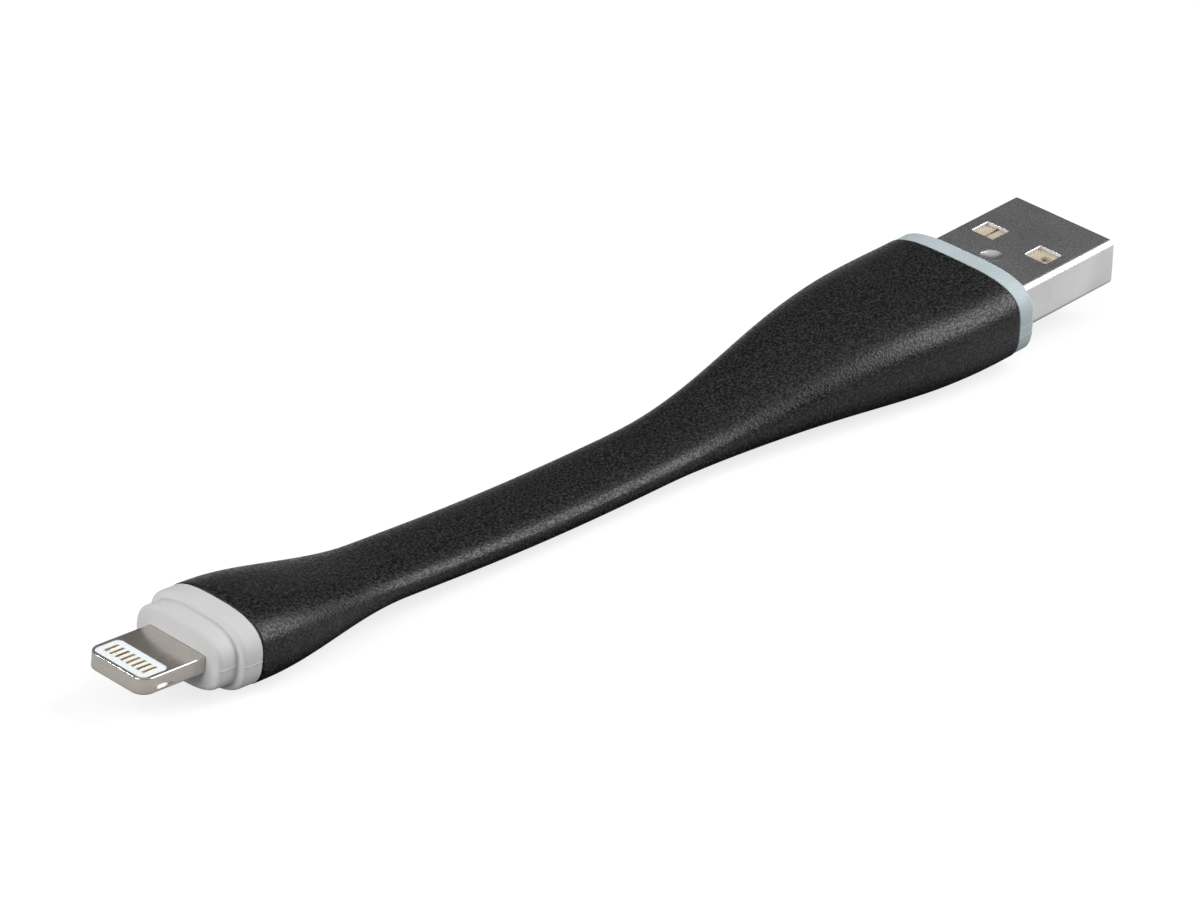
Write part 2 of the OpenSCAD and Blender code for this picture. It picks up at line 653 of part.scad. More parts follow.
module tab_pads(fit) {
    for (i = [0:7])
        box(tab_window_mid - tab_contact_l / 2 - fit, tab_window_mid + tab_contact_l / 2 + fit,
            tab_contact_w + 2 * fit, board_t / 2 + small_fit - fit, tab_t / 2 - pad_proud + fit,
            (i - 3.5) * tab_contact_pitch);
}
module tab_carrier() {
    low = board_t / 2 + small_fit;
    difference() {
        translate([tab_window_mid, 0, low]) linear_extrude(tab_t / 2 - 3 * pad_proud - low)
            rounded_rect(tab_window_l - 2 * small_fit, tab_window_w - 2 * small_fit,
                tab_window_r - small_fit);
        tab_pads(small_fit / 2);
    }
}
module tab_carrier_top() { color("white") in_device_frame() tab_carrier(); }
module tab_carrier_bottom() { color("white") in_device_frame() mirror([0, 0, 1]) tab_carrier(); }
module tab_contacts_top() { color("gold") in_device_frame() tab_pads(0); }
module tab_contacts_bottom() { color("gold") in_device_frame() mirror([0, 0, 1]) tab_pads(0); }

// ---- device board ------------------------------------------------------------------------
can_from = device_step_l + device_front_l + 0.6;
can_to = board_rear - 1.25;
can_w = 5.8;
board_top = board_t / 2;
chip_at = can_from + 1.8;          // tab's root to the middle of the control chip
part_w = 0.5;                      // width and height of the smallest parts
part_l = 0.9;

module device_board() {
    color("darkgreen") in_device_frame() {
        box(tab_window_at - tab_l + 0.3, tab_held + 0.2, board_front_w, -board_top, board_top);
        box(tab_held + 0.2, board_rear, board_w, -board_top, board_top);
    }
}
module device_control_chip() {
    color("#202024") in_device_frame()
        box(chip_at - chip_w / 2, chip_at + chip_w / 2, chip_w, board_top, board_top + chip_h);
}
module device_charge_switch() {
    switch_l = 1.6;
    switch_h = 0.55;
    color("#28282c") in_device_frame()
        box(chip_at - switch_l / 2, chip_at + switch_l / 2, switch_l,
            -board_top - switch_h, -board_top);
}
module small_part(x, y, h) {
    box(x - part_w / 2, x + part_w / 2, part_l, min(board_top, board_top + h),
        max(board_top, board_top + h), y);
}
module device_capacitors() {
    color("peru") in_device_frame() for (x = [can_to - 0.7, can_to - 1.6], y = [-1.2, 1.2])
        small_part(x, y, part_w);
}
module device_resistors() {
    color("#303030") in_device_frame() mirror([0, 0, 1]) for (y = [-1.6, 0, 1.6])
        small_part(can_to - 1, y, 0.35);
}
module device_solder_joints() {
    color("gainsboro") in_device_frame() for (i = [0:3])
        solder_block(board_rear - 0.95, board_rear - 0.1, pad_y(i), board_top,
            device_wire_z + core_r + solder_t, device_wire_z);
}
module shield_can() {
    difference() {
        box(can_from, can_to, can_w, board_top, board_top + can_h);
        box(can_from + can_t, can_to - can_t, can_w - 2 * can_t, board_top - over,
            board_top + can_h - can_t);
    }
}
module device_can_top() { color("lightgray") in_device_frame() shield_can(); }
module device_can_bottom() {
    color("lightgray") in_device_frame() mirror([0, 0, 1]) shield_can();
}

module device_inner_mould() {
    wall = 0.5;
    rear_wall = 1;
    outside = section(device_mould_w / 2, device_mould_h / 2, mould_n, sleeve_sides);
    inside = section(device_mould_w / 2 - wall, device_mould_h / 2 - wall * 0.6, mould_n,
        sleeve_sides);
    jacket = section(jacket_w / 2 + mould_fit, jacket_h / 2 + mould_fit, cable_n, cable_sides);
    front = device_step_l + device_front_l;
    color("whitesmoke") in_device_frame() difference() {
        along(front, device_mould_end) outline_of(outside);
        along(front - over, device_mould_end - rear_wall) outline_of(inside);
        along(front, device_mould_end + over) outline_of(jacket);
    }
}

// Rounds an edge that faces the tab: stations with how far each is inset.
function rounded_end(s, r) = [for (k = [0:fillet_steps]) let (q = 90 * k / fillet_steps)
    [s - r + r * sin(q), r * (1 - cos(q))]];

module device_collar() {
    a = device_grip_w / 2 - device_collar_step;
    b = device_grip_h / 2 - device_collar_step;
    step_end = sleeve_end + device_step_l;
    function collar_ring(s, inset_w, inset_h) =
        ring_at(s, section(a - inset_w, b - inset_h, device_grip_n, sleeve_sides), 0);
    color("lightgray") difference() {
        loft(concat(
            [collar_ring(sleeve_end, 0, 0)],
            [for (f = rounded_end(step_end, device_step_r)) collar_ring(f[0], f[1], f[1])],
            [collar_ring(step_end, device_front_in_w, device_front_in_h)],
            [for (f = rounded_end(tab_root, device_front_r))
                collar_ring(f[0], device_front_in_w + f[1], device_front_in_h + f[1])]));
        in_device_frame() box(-over, device_step_l + device_front_l + over,
            tab_w + 2 * small_fit, -tab_t / 2 - small_fit, tab_t / 2 + small_fit);
    }
}

host_shell();
host_tongue();
host_contact_power();
host_contact_data_minus();
host_contact_data_plus();
host_contact_ground();
host_crimp_clamp();
host_solder_joints();
host_inner_mould();
host_collar();
sleeve_host_grip();
sleeve_neck_1();
sleeve_neck_2();
sleeve_neck_3();
sleeve_neck_4();
sleeve_neck_5();
sleeve_neck_6();
sleeve_neck_7();
sleeve_neck_8();
sleeve_neck_9();
sleeve_device_grip();
cable_jacket();
foil_shield();
wire_power_insulation();
wire_data_minus_insulation();
wire_data_plus_insulation();
wire_ground_insulation();
wire_power_core();
wire_data_minus_core();
wire_data_plus_core();
wire_ground_core();
drain_wire();
strength_fibre();
tab_shell();
tab_carrier_top();
tab_carrier_bottom();
tab_contacts_top();
tab_contacts_bottom();
device_board();
device_control_chip();
device_charge_switch();
device_capacitors();
device_resistors();
device_solder_joints();
device_can_top();
device_can_bottom();
device_inner_mould();
device_collar();
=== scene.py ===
import json
import math

import bmesh
import bpy
from mathutils import Matrix, Vector


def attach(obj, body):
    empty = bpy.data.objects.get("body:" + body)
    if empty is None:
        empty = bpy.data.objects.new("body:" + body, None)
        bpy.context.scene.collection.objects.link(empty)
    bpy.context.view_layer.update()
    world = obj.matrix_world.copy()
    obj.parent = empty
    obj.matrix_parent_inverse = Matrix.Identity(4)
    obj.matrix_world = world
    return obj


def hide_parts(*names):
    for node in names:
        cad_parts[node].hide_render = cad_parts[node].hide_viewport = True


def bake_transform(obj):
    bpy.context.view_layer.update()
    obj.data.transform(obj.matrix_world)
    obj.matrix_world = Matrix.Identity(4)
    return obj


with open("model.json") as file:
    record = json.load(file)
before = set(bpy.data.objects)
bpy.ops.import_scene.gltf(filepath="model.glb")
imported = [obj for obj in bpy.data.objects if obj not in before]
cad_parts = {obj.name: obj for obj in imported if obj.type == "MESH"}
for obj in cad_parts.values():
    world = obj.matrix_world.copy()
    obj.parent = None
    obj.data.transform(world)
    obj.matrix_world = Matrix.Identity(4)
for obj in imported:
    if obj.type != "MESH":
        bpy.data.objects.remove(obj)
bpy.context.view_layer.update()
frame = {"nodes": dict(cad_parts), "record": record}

MM = 0.001
TAU = 2 * math.pi

# ---- the construction's sizes, in millimetres ----------------------------------------------
HOST_SHELL = (12.0, 4.5, 0.6)            # width, height, corner radius
HOST_EXPOSED, HOST_HELD, HOST_WALL = 13.4, 5.1, 0.3
HOST_COLLAR_L, HOST_COLLAR_STEP, HOST_COLLAR_R = 2.05, 0.06, 0.4
HOST_GRIP_W, HOST_GRIP_H, HOST_GRIP_N = 16.3, 8.3, 3.4
HOST_STRAIGHT_W, HOST_STRAIGHT_H = 3.5, 8.0
HOST_FLARE_W, HOST_FLARE_H = 40.0, 42.0
HOST_CAMBER, HOST_CAMBER_L = 0.6, 38.0
NECK_W, NECK_H, NECK_N = 8.05, 3.06, 2.55
NECK_SAG, SAG_FROM = 0.2, 0.8 * HOST_CAMBER_L
SLEEVE_L = 89.8
FLEX_AT, FLEX_PITCH, HINGES = 36.0, 3.6, 10
REST_BEND, REST_BEND_L, REST_BEND_AT = 6.14, 40.0, 59.8
DEVICE_GRIP_W, DEVICE_GRIP_H, DEVICE_GRIP_N = 11.5, 6.7, 2.85
DEVICE_FLARE_W, DEVICE_STRAIGHT_W, DEVICE_FLARE_H = 17.8, 1.8, 18.8
DEVICE_STEP_L, DEVICE_FRONT_L = 2.05, 2.0
DEVICE_IN_W, DEVICE_IN_H = 0.7, 0.55
DEVICE_STEP_R, DEVICE_FRONT_R, DEVICE_COLLAR_STEP = 0.45, 0.4, 0.05
TAB_W, TAB_T, TAB_L, TAB_HELD = 6.7, 1.5, 6.77, 3.0
JACKET_W, JACKET_H, JACKET_WALL = 5.2, 2.0, 0.42
WIRE_D, CORE_D, WIRE_PITCH, DRAIN_D, FOIL_T = 0.86, 0.42, 1.0, 0.24, 0.06
HOST_MOULD, HOST_MOULD_END = (13.1, 5.7), 27.5
DEVICE_MOULD, DEVICE_MOULD_END = (8.0, 3.6), 14.4
MOULD_FIT, SMALL_FIT = 0.05, 0.02
CABLE_N, MOULD_N = 4.0, 5.0

SLEEVE_START = HOST_EXPOSED + HOST_COLLAR_L
SLEEVE_END = SLEEVE_START + SLEEVE_L
TAB_ROOT = SLEEVE_END + DEVICE_STEP_L + DEVICE_FRONT_L
BEND_START = REST_BEND_AT - REST_BEND_L / 2
BEND_R = REST_BEND_L / math.radians(REST_BEND)
FLEX_START = SLEEVE_START + FLEX_AT
FLEX_END = FLEX_START + HINGES * FLEX_PITCH
FIRST_HINGE = FLEX_START + FLEX_PITCH / 2
LAST_HINGE = FIRST_HINGE + (HINGES - 1) * FLEX_PITCH


# ---- the lead's line: a station s runs from the host plug's rim to the tab's tip -----------
def clamp01(v):
    return min(1.0, max(0.0, v))


def smooth(v):
    u = clamp01(v)
    return u * u * (3 - 2 * u)


def hump(v):
    return math.sin(math.pi * clamp01(v)) ** 2


def spread(a, b, count):
    """Even steps from a to b, both included."""
    return [a + (b - a) * i / count for i in range(count + 1)]


def turn(s):
    """How far the moulded-in bend has turned the lead at a station."""
    return math.radians(REST_BEND) * clamp01((s - BEND_START) / REST_BEND_L)


def arc(s):
    w, past = turn(s), max(0.0, s - BEND_START - REST_BEND_L)
    if s <= BEND_START:
        return -s, 0.0
    return (-BEND_START - BEND_R * math.sin(w) - past * math.cos(w),
            BEND_R * (1 - math.cos(w)) + past * math.sin(w))


def camber(s):
    """How far the sleeve's middle lies above the line of the bend."""
    u = s - SLEEVE_START
    return (HOST_CAMBER * hump(u / HOST_CAMBER_L)
            - NECK_SAG * hump((u - SAG_FROM) / (SLEEVE_L - SAG_FROM)))


def plug_point(s, y, z):
    (x, height), w = arc(s), turn(s)
    return x + z * math.sin(w), y, height + z * math.cos(w)


def grip_mix(v, straight, flare):
    return 1 - smooth((v - straight) / (flare - straight))


def half_w(s):
    u, v = s - SLEEVE_START, SLEEVE_END - s
    return (NECK_W + (HOST_GRIP_W - NECK_W) * grip_mix(u, HOST_STRAIGHT_W, HOST_FLARE_W)
            + (DEVICE_GRIP_W - NECK_W) * grip_mix(v, DEVICE_STRAIGHT_W, DEVICE_FLARE_W)) / 2


def half_h(s):
    u, v = s - SLEEVE_START, SLEEVE_END - s
    return (NECK_H + (HOST_GRIP_H - NECK_H) * grip_mix(u, HOST_STRAIGHT_H, HOST_FLARE_H)
            + (DEVICE_GRIP_H - NECK_H) * grip_mix(v, 0, DEVICE_FLARE_H)) / 2


def square_n(s):
    """The section's exponent: 2 is an ellipse, and higher is squarer."""
    u, v = s - SLEEVE_START, SLEEVE_END - s
    return (NECK_N + (HOST_GRIP_N - NECK_N) * grip_mix(u, 0, HOST_FLARE_W)
            + (DEVICE_GRIP_N - NECK_N) * grip_mix(v, 0, DEVICE_FLARE_W))


def under(s):
    return plug_point(s, 0, camber(s) - half_h(s))


foot_a, foot_b = under(SLEEVE_START + HOST_STRAIGHT_H), under(SLEEVE_END)
LIE = math.atan2(foot_b[2] - foot_a[2], foot_a[0] - foot_b[0])


def tilt(p):
    """Turns a point of the host plug's frame so that the lead lies on its two grips."""
    c, s = math.cos(LIE), math.sin(LIE)
    return Vector((p[0] * c - p[2] * s, p[1], p[0] * s + p[2] * c))


rest_stations = spread(SLEEVE_START, FIRST_HINGE, 18) + spread(LAST_HINGE, SLEEVE_END, 12)
FLOOR_Z = min(tilt(under(s)).z for s in rest_stations)
MIDDLE_X = (tilt((0, 0, -HOST_SHELL[1] / 2)).x
            + tilt(plug_point(TAB_ROOT + TAB_L, 0, -TAB_T / 2)).x) / 2


def at(s, y, z):
    """A point in the row frame, in metres, at a station along the lead."""
    return (tilt(plug_point(s, y, z)) - Vector((MIDDLE_X, 0, FLOOR_Z))) * MM


# ---- outlines and rings --------------------------------------------------------------------
SIDES = 160                              # points round a sleeve section
RIB_W, RIB_H = 0.07, 0.03                # half width and height of a parting rib


def superellipse(a, b, n, count=SIDES):
    points = []
    for i in range(count):
        c, s = math.cos(TAU * i / count), math.sin(TAU * i / count)
        r = (abs(c) ** n + abs(s) ** n) ** (-1 / n)
        points.append((a * r * c, b * r * s))
    return points


def rib_angles(b, ribs):
    """A section's angles with extra ones where fine parting ribs run, right and left."""
    fine = [(z + RIB_W * k / 2) / b for z in ribs for k in range(-2, 3)]
    both = fine + [math.pi - t for t in fine]
    return sorted([TAU * (i + 0.5) / SIDES for i in range(SIDES)] + [t % TAU for t in both])


def ribbed(a, b, n, angles, ribs):
    """A superellipse with fine parting ribs, at the heights given, down both sides."""
    points = []
    for t in angles:
        c, s = math.cos(t), math.sin(t)
        r = (abs(c) ** n + abs(s) ** n) ** (-1 / n)
        y, z = a * r * c, b * r * s
        proud = sum(RIB_H * max(0.0, 1 - ((z - at_z) / RIB_W) ** 2) for at_z in ribs)
        points.append((y + math.copysign(proud if abs(y) > a / 2 else 0.0, y), z))
    return points


def arc_rect(a, b, radii, steps=10):
    """A rectangle with half sizes a and b; radii of its corners from (+, +) anticlockwise."""
    points = []
    for k, (sx, sy) in enumerate(((1, 1), (-1, 1), (-1, -1), (1, -1))):
        r = radii[k] if isinstance(radii, tuple) else radii
        for i in range(steps + 1):
            q = math.pi / 2 * (k + i / steps)
            points.append((sx * (a - r) + r * math.cos(q), sy * (b - r) + r * math.sin(q)))
    return points


def circle(x, y, r, count):
    return [(x + r * math.cos(TAU * k / count), y + r * math.sin(TAU * k / count))
            for k in range(count)]


def even_points(outline, angles):
    """Where rays from the middle, at the angles given, cross a closed outline."""
    points = []
    for t in angles:
        ray = Vector((math.cos(t), math.sin(t)))
        for k, (x0, y0) in enumerate(outline):
            x1, y1 = outline[(k + 1) % len(outline)]
            side0, side1 = ray.x * y0 - ray.y * x0, ray.x * y1 - ray.y * x1
            if side0 <= 0 < side1 and ray.x * (x0 + x1) + ray.y * (y0 + y1) > 0:
                f = side0 / (side0 - side1)
                points.append((x0 + (x1 - x0) * f, y0 + (y1 - y0) * f))
                break
    return points


def ring_at(s, outline, lift=0.0):
    return [at(s, y, z + lift) for y, z in outline]


def quarter(steps):
    """Even angles of a quarter turn, from 0 to a right angle."""
    return [math.radians(90 / steps * k) for k in range(steps + 1)]


def rounded_start(s, r, steps=10):
    """Stations and insets of a round at the near end of a piece."""
    return [(s + r * (1 - math.cos(q)), r * (1 - math.sin(q))) for q in quarter(steps)]


def rounded_end(s, r, steps=10):
    """Stations and insets of a round at the far end of a piece."""
    return [(s - r + r * math.sin(q), r * (1 - math.cos(q))) for q in quarter(steps)]


# ---- mesh making ---------------------------------------------------------------------------
SMOOTH_TO = 35.0                         # edges flatter than this, in degrees, are shaded smooth
MERGE = 1e-7                             # corners nearer than this, in metres, are one


def shade(mesh, sharp):
    for poly in mesh.polygons:
        poly.use_smooth = True
    mesh.set_sharp_from_angle(angle=math.radians(sharp))


def object_from(bm, name, sharp=SMOOTH_TO):
    bmesh.ops.recalc_face_normals(bm, faces=bm.faces)
    mesh = bpy.data.meshes.new(name)
    bm.to_mesh(mesh)
    bm.free()
    mesh.validate()
    obj = bpy.data.objects.new(name, mesh)
    bpy.context.scene.collection.objects.link(obj)
    shade(mesh, sharp)
    return obj


def add_tube(bm, outer, inner=None, slot_index=0):
    """A closed skin through rings of equal counts, hollow when inner rings are given."""
    def skin(rings, flip):
        rows = [[bm.verts.new(p) for p in ring] for ring in rings]
        count = len(rows[0])
        for near, far in zip(rows, rows[1:]):
            for i in range(count):
                j = (i + 1) % count
                quad = (near[i], near[j], far[j], far[i])
                faces.append(bm.faces.new(quad[::-1] if flip else quad))
        return rows

    faces = []
    shell = skin(outer, False)
    if inner is None:
        faces.append(bm.faces.new(shell[0][::-1]))
        faces.append(bm.faces.new(shell[-1]))
    else:
        hollow = skin(inner, True)
        count = len(shell[0])
        for i in range(count):
            j = (i + 1) % count
            faces.append(bm.faces.new((shell[0][j], shell[0][i], hollow[0][i], hollow[0][j])))
            faces.append(bm.faces.new((shell[-1][i], shell[-1][j], hollow[-1][j], hollow[-1][i])))
    for face in faces:
        face.material_index = slot_index


def tube(name, outer, inner=None):
    bm = bmesh.new()
    add_tube(bm, outer, inner)
    return object_from(bm, name)


def applied(obj, kind, **settings):
    """Applies one modifier and keeps its result as the object's own mesh."""
    modifier = obj.modifiers.new(kind.lower(), kind)
    for key, value in settings.items():
        setattr(modifier, key, value)
    graph = bpy.context.evaluated_depsgraph_get()
    mesh = bpy.data.meshes.new_from_object(obj.evaluated_get(graph), depsgraph=graph)
    mesh.name = obj.name
    obj.modifiers.clear()
    obj.data = mesh
    return obj


def cut(obj, *tools, keep=False):
    """Takes the tools away from a solid, or adds them to it."""
    for tool in tools:
        applied(obj, "BOOLEAN", object=tool, solver="EXACT",
                operation="UNION" if keep else "DIFFERENCE")
        bpy.data.objects.remove(tool)


def even_shading(obj, sharp=SMOOTH_TO):
    """Smooth shading in which large flat faces stay flat."""
    shade(obj.data, sharp)
    return applied(obj, "WEIGHTED_NORMAL", mode="FACE_AREA", weight=50, keep_sharp=True)


def rounded_copy(name, node, round_mm, segments=3, edge_deg=30.0, flat_deg=1.5, sharp=40.0):
    """A copy of a construction solid whose sharp edges have small rounds."""
    bm = bmesh.new()
    bm.from_mesh(frame["nodes"][node].data)
    bmesh.ops.remove_doubles(bm, verts=bm.verts, dist=MERGE)
    bmesh.ops.dissolve_limit(bm, angle_limit=math.radians(flat_deg), verts=bm.verts,
                             edges=bm.edges, use_dissolve_boundaries=False)
    edges = [e for e in bm.edges
             if e.is_manifold and e.calc_face_angle() > math.radians(edge_deg)]
    bmesh.ops.bevel(bm, geom=edges, offset=round_mm * MM, offset_type="OFFSET",
                    segments=segments, profile=0.5, affect="EDGES", clamp_overlap=True)
    return even_shading(object_from(bm, name, sharp), sharp)


# ---- materials -----------------------------------------------------------------------------
def add_node(tree, kind, inputs=None, **settings):
    """Makes a shader node. Each input is a value, or the output that feeds it."""
    node = tree.nodes.new("ShaderNode" + kind)
    for key, value in settings.items():
        setattr(node, key, value)
    for key, value in (inputs or {}).items():
        if isinstance(value, bpy.types.NodeSocket):
            tree.links.new(value, node.inputs[key])
        else:
            node.inputs[key].default_value = value
    return node


class Surface:
    """A procedural material in the making."""

    def __init__(self, name, color, rough, metallic=0.0, specular=0.5):
        self.material = bpy.data.materials.new(name)
        self.material.use_nodes = True
        self.tree = self.material.node_tree
        self.shader = self.tree.nodes["Principled BSDF"]
        self.color, self.rough = color, rough
        self.set("Base Color", (*color, 1))
        self.set("Roughness", rough)
        self.set("Metallic", metallic)
        self.set("Specular IOR Level", specular)

    def set(self, socket, value):
        self.shader.inputs[socket].default_value = value

    def feed(self, socket, output):
        self.tree.links.new(output, self.shader.inputs[socket])

    def noise(self, scale, detail=2.0, stretch=None):
        """Noise in the object's coordinates, which are metres."""
        place = add_node(self.tree, "TexCoord").outputs["Object"]
        if stretch:
            mapping = add_node(self.tree, "Mapping", {"Vector": place, "Scale": stretch})
            place = mapping.outputs["Vector"]
        texture = add_node(self.tree, "TexNoise",
                           {"Vector": place, "Scale": scale, "Detail": detail})
        return texture.outputs["Fac"]

    def vary(self, socket, source, low, high, points=(0.35, 0.65)):
        """Maps a texture's value onto a range of colours or numbers."""
        ramp = add_node(self.tree, "ValToRGB", {"Fac": source})
        for element, position, value in zip(ramp.color_ramp.elements, points, (low, high)):
            element.position = position
            element.color = (*value, 1) if isinstance(value, tuple) else (value,) * 3 + (1,)
        self.feed(socket, ramp.outputs["Color"])

    def emboss(self, height, depth_mm, strength):
        inputs = {"Height": height, "Strength": strength, "Distance": depth_mm * MM}
        self.feed("Normal", add_node(self.tree, "Bump", inputs).outputs["Normal"])

    def cloud(self, scale, spread_by):
        """Lets the colour drift a little from place to place."""
        low = tuple(c * (1 - spread_by) for c in self.color)
        high = tuple(min(1.0, c * (1 + spread_by)) for c in self.color)
        self.vary("Base Color", self.noise(scale, detail=3.0), low, high)

    def grain(self, source, spread_by, depth_mm, strength):
        """Gives the surface a fine grain, in gloss and in height."""
        self.vary("Roughness", source, self.rough * (1 - spread_by),
                  min(1.0, self.rough * (1 + spread_by)))
        self.emboss(source, depth_mm, strength)


PLASTIC_CLOUD, METAL_CLOUD = 260.0, 180.0    # noise scales of the colour's drift
PLASTIC_GLOSS, METAL_GLOSS = 0.12, 0.2       # how far the grain varies the roughness
PLASTIC_BUMP, METAL_BUMP = 0.5, 0.6          # strength of the grain's bump
SCATTER_MM = 0.6                             # how far light scatters in a translucent plastic


def plastic(name, color, rough=0.45, scale=3600.0, depth=0.006, spread_by=0.06, subsurface=0.0,
            specular=0.5):
    """Moulded plastic: scale and depth (mm) are its grain's, spread_by its colour's drift."""
    surface = Surface(name, color, rough, specular=specular)
    surface.cloud(PLASTIC_CLOUD, spread_by)
    surface.grain(surface.noise(scale), PLASTIC_GLOSS, depth, PLASTIC_BUMP)
    if subsurface:
        surface.set("Subsurface Weight", subsurface)
        surface.set("Subsurface Radius", (1.0, 1.0, 1.0))
        surface.set("Subsurface Scale", SCATTER_MM * MM)
    return surface.material


def metal(name, color, rough=0.3, stretch=(1.0, 1.0, 1.0), scale=5000.0, depth=0.002,
          spread_by=0.08, metallic=1.0):
    """Metal: stretch draws the grain out along an axis, as on drawn or rolled stock."""
    surface = Surface(name, color, rough, metallic)
    surface.cloud(METAL_CLOUD, spread_by)
    surface.grain(surface.noise(scale, stretch=stretch), METAL_GLOSS, depth, METAL_BUMP)
    return surface.material


RUBBER_COLOR, RUBBER_ROUGH, RUBBER_SPECULAR = (0.014, 0.014, 0.015), 0.36, 0.30
SPECK_SCALE, SPECK_DARK, SPECK_LIGHT = 4700.0, (0.001, 0.001, 0.0012), (0.040, 0.040, 0.0425)
GRAIN_SCALE, GRAIN_DULL, GRAIN_GLOSSY, GRAIN_MM = 4300.0, 0.52, 0.22, 0.035
SPECK_RANGE, GRAIN_RANGE = (0.42, 0.72), (0.36, 0.64)    # noise values that reach the ends


def sleeve_rubber():
    """Near-black soft rubber with the fine blasted grain of its mould.

    One noise gives the grain both its height and its gloss, so that it sparkles.
    """
    surface = Surface("sleeve_rubber", RUBBER_COLOR, RUBBER_ROUGH, specular=RUBBER_SPECULAR)
    speck, grain = surface.noise(SPECK_SCALE, detail=1.0), surface.noise(GRAIN_SCALE, detail=1.0)
    surface.vary("Base Color", speck, SPECK_DARK, SPECK_LIGHT, SPECK_RANGE)
    surface.vary("Roughness", grain, GRAIN_DULL, GRAIN_GLOSSY, GRAIN_RANGE)
    surface.emboss(grain, GRAIN_MM, strength=1.0)
    return surface.material


DRAWN = (0.2, 1.0, 1.0)                  # grain drawn out along the lead
PLASTICS = {
    "sheared_steel": dict(color=(0.66, 0.65, 0.63), rough=0.4),
    "cream_plastic": dict(color=(0.56, 0.49, 0.38), rough=0.4),
    "natural_mould": dict(color=(0.70, 0.70, 0.66), rough=0.5),
    "host_collar_plastic": dict(color=(0.475, 0.55, 0.568), rough=0.5, depth=0.001,
                                spread_by=0.03, subsurface=0.25, specular=0.35),
    "device_collar_plastic": dict(color=(0.61, 0.61, 0.615), rough=0.6, depth=0.0003,
                                  spread_by=0.02, specular=0.3),
    "jacket_plastic": dict(color=(0.028, 0.028, 0.03), rough=0.5),
    "red_insulation": dict(color=(0.45, 0.015, 0.012), rough=0.32),
    "white_insulation": dict(color=(0.78, 0.78, 0.75), rough=0.32),
    "green_insulation": dict(color=(0.012, 0.25, 0.06), rough=0.32),
    "black_insulation": dict(color=(0.012, 0.012, 0.013), rough=0.32),
    "fibre": dict(color=(0.62, 0.50, 0.16), rough=0.7, scale=6000.0, depth=0.02),
    "tab_white": dict(color=(0.89, 0.95, 0.97), rough=0.3, spread_by=0.02),
    "board_green": dict(color=(0.012, 0.12, 0.05), rough=0.35, scale=4800.0, depth=0.01),
    "chip_black": dict(color=(0.03, 0.03, 0.032), rough=0.5, scale=6000.0, depth=0.01),
    "capacitor_tan": dict(color=(0.30, 0.20, 0.11), rough=0.45),
    "resistor_black": dict(color=(0.02, 0.02, 0.02), rough=0.4),
}
METALS = {
    "shell_steel": dict(color=(0.86, 0.86, 0.87), rough=0.28, scale=7000.0, depth=0.0003),
    "spring_steel": dict(color=(0.62, 0.62, 0.63), stretch=DRAWN, scale=4000.0),
    "contact_gold": dict(color=(0.82, 0.68, 0.46), rough=0.42, stretch=(0.1, 1.0, 1.0),
                         scale=4000.0),
    "solder": dict(color=(0.68, 0.68, 0.69), rough=0.34, scale=900.0, depth=0.02),
    "foil": dict(color=(0.78, 0.79, 0.80), rough=0.2, stretch=(0.15, 1.0, 1.0), scale=1500.0,
                 depth=0.02),
    "copper": dict(color=(0.80, 0.42, 0.25), rough=0.28, stretch=DRAWN, scale=2500.0,
                   depth=0.01),
    "tinned_copper": dict(color=(0.70, 0.69, 0.68), stretch=DRAWN, scale=2500.0),
    "tab_nickel": dict(color=(0.56, 0.52, 0.475), rough=0.22, scale=2500.0, depth=0.0001,
                       metallic=0.82),
    "can_metal": dict(color=(0.66, 0.66, 0.65), rough=0.34, stretch=(0.25, 1.0, 1.0),
                      scale=3000.0),
}
MATERIALS = {"sleeve_rubber": sleeve_rubber()}
MATERIALS.update((name, plastic(name, **look)) for name, look in PLASTICS.items())
MATERIALS.update((name, metal(name, **look)) for name, look in METALS.items())


def finish_construction():
    """Gives every CAD node the material of its slot in the record."""
    slot_of = {part["node"]: part["material_slot"] for part in frame["record"]["subparts"]}
    for name, node in frame["nodes"].items():
        node.data.materials.clear()
        node.data.materials.append(MATERIALS[slot_of[name]])


def dress(obj, slot, body, *nodes):
    """Gives a piece its material and, when one is named, its body, and hides the CAD nodes it
    stands for.
    """
    obj.data.materials.append(MATERIALS[slot])
    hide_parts(*nodes)
    if body:
        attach(obj, body)


# ---- camera --------------------------------------------------------------------------------
FOCAL_MM, SENSOR_MM = 175.739, 36.0
CAMERA_AT = Vector((-0.32654, -0.292787, 0.240863))
CAMERA_RIGHT = Vector((0.694082, -0.717238, 0.061803))
CAMERA_UP = Vector((0.304893, 0.370646, 0.877304))
CLIP = (0.01, 50.0)                      # nearest and farthest distance seen


def facing(right, up, place):
    """The matrix of a camera or lamp from its right and up directions and its place."""
    return Matrix.Translation(place) @ Matrix((right, up, right.cross(up))).transposed().to_4x4()


def make_camera():
    """The photograph's viewpoint, fitted to the edges of both plugs."""
    data = bpy.data.cameras.new("camera")
    data.sensor_width, data.lens = SENSOR_MM, FOCAL_MM
    data.clip_start, data.clip_end = CLIP
    camera = bpy.data.objects.new("camera", data)
    camera.matrix_world = facing(CAMERA_RIGHT, CAMERA_UP, CAMERA_AT)
    bpy.context.scene.collection.objects.link(camera)
    bpy.context.scene.camera = camera


# ---- sleeve --------------------------------------------------------------------------------
END_ROUND, END_STEPS = 0.14, 6           # the round at both ends of the sleeve
LAND = 0.3                               # from an end's round to the first plain ring
GRIP_RINGS, NECK_RINGS = (90, 50), 12    # steps along the host and device grip, and a neck piece
ROOM_RINGS = (24, 12)                    # steps along the room for the lead in each grip
LEAD_FREE, LEAD_RISE = 1.0, 8.0          # past the moulds the lead follows the camber


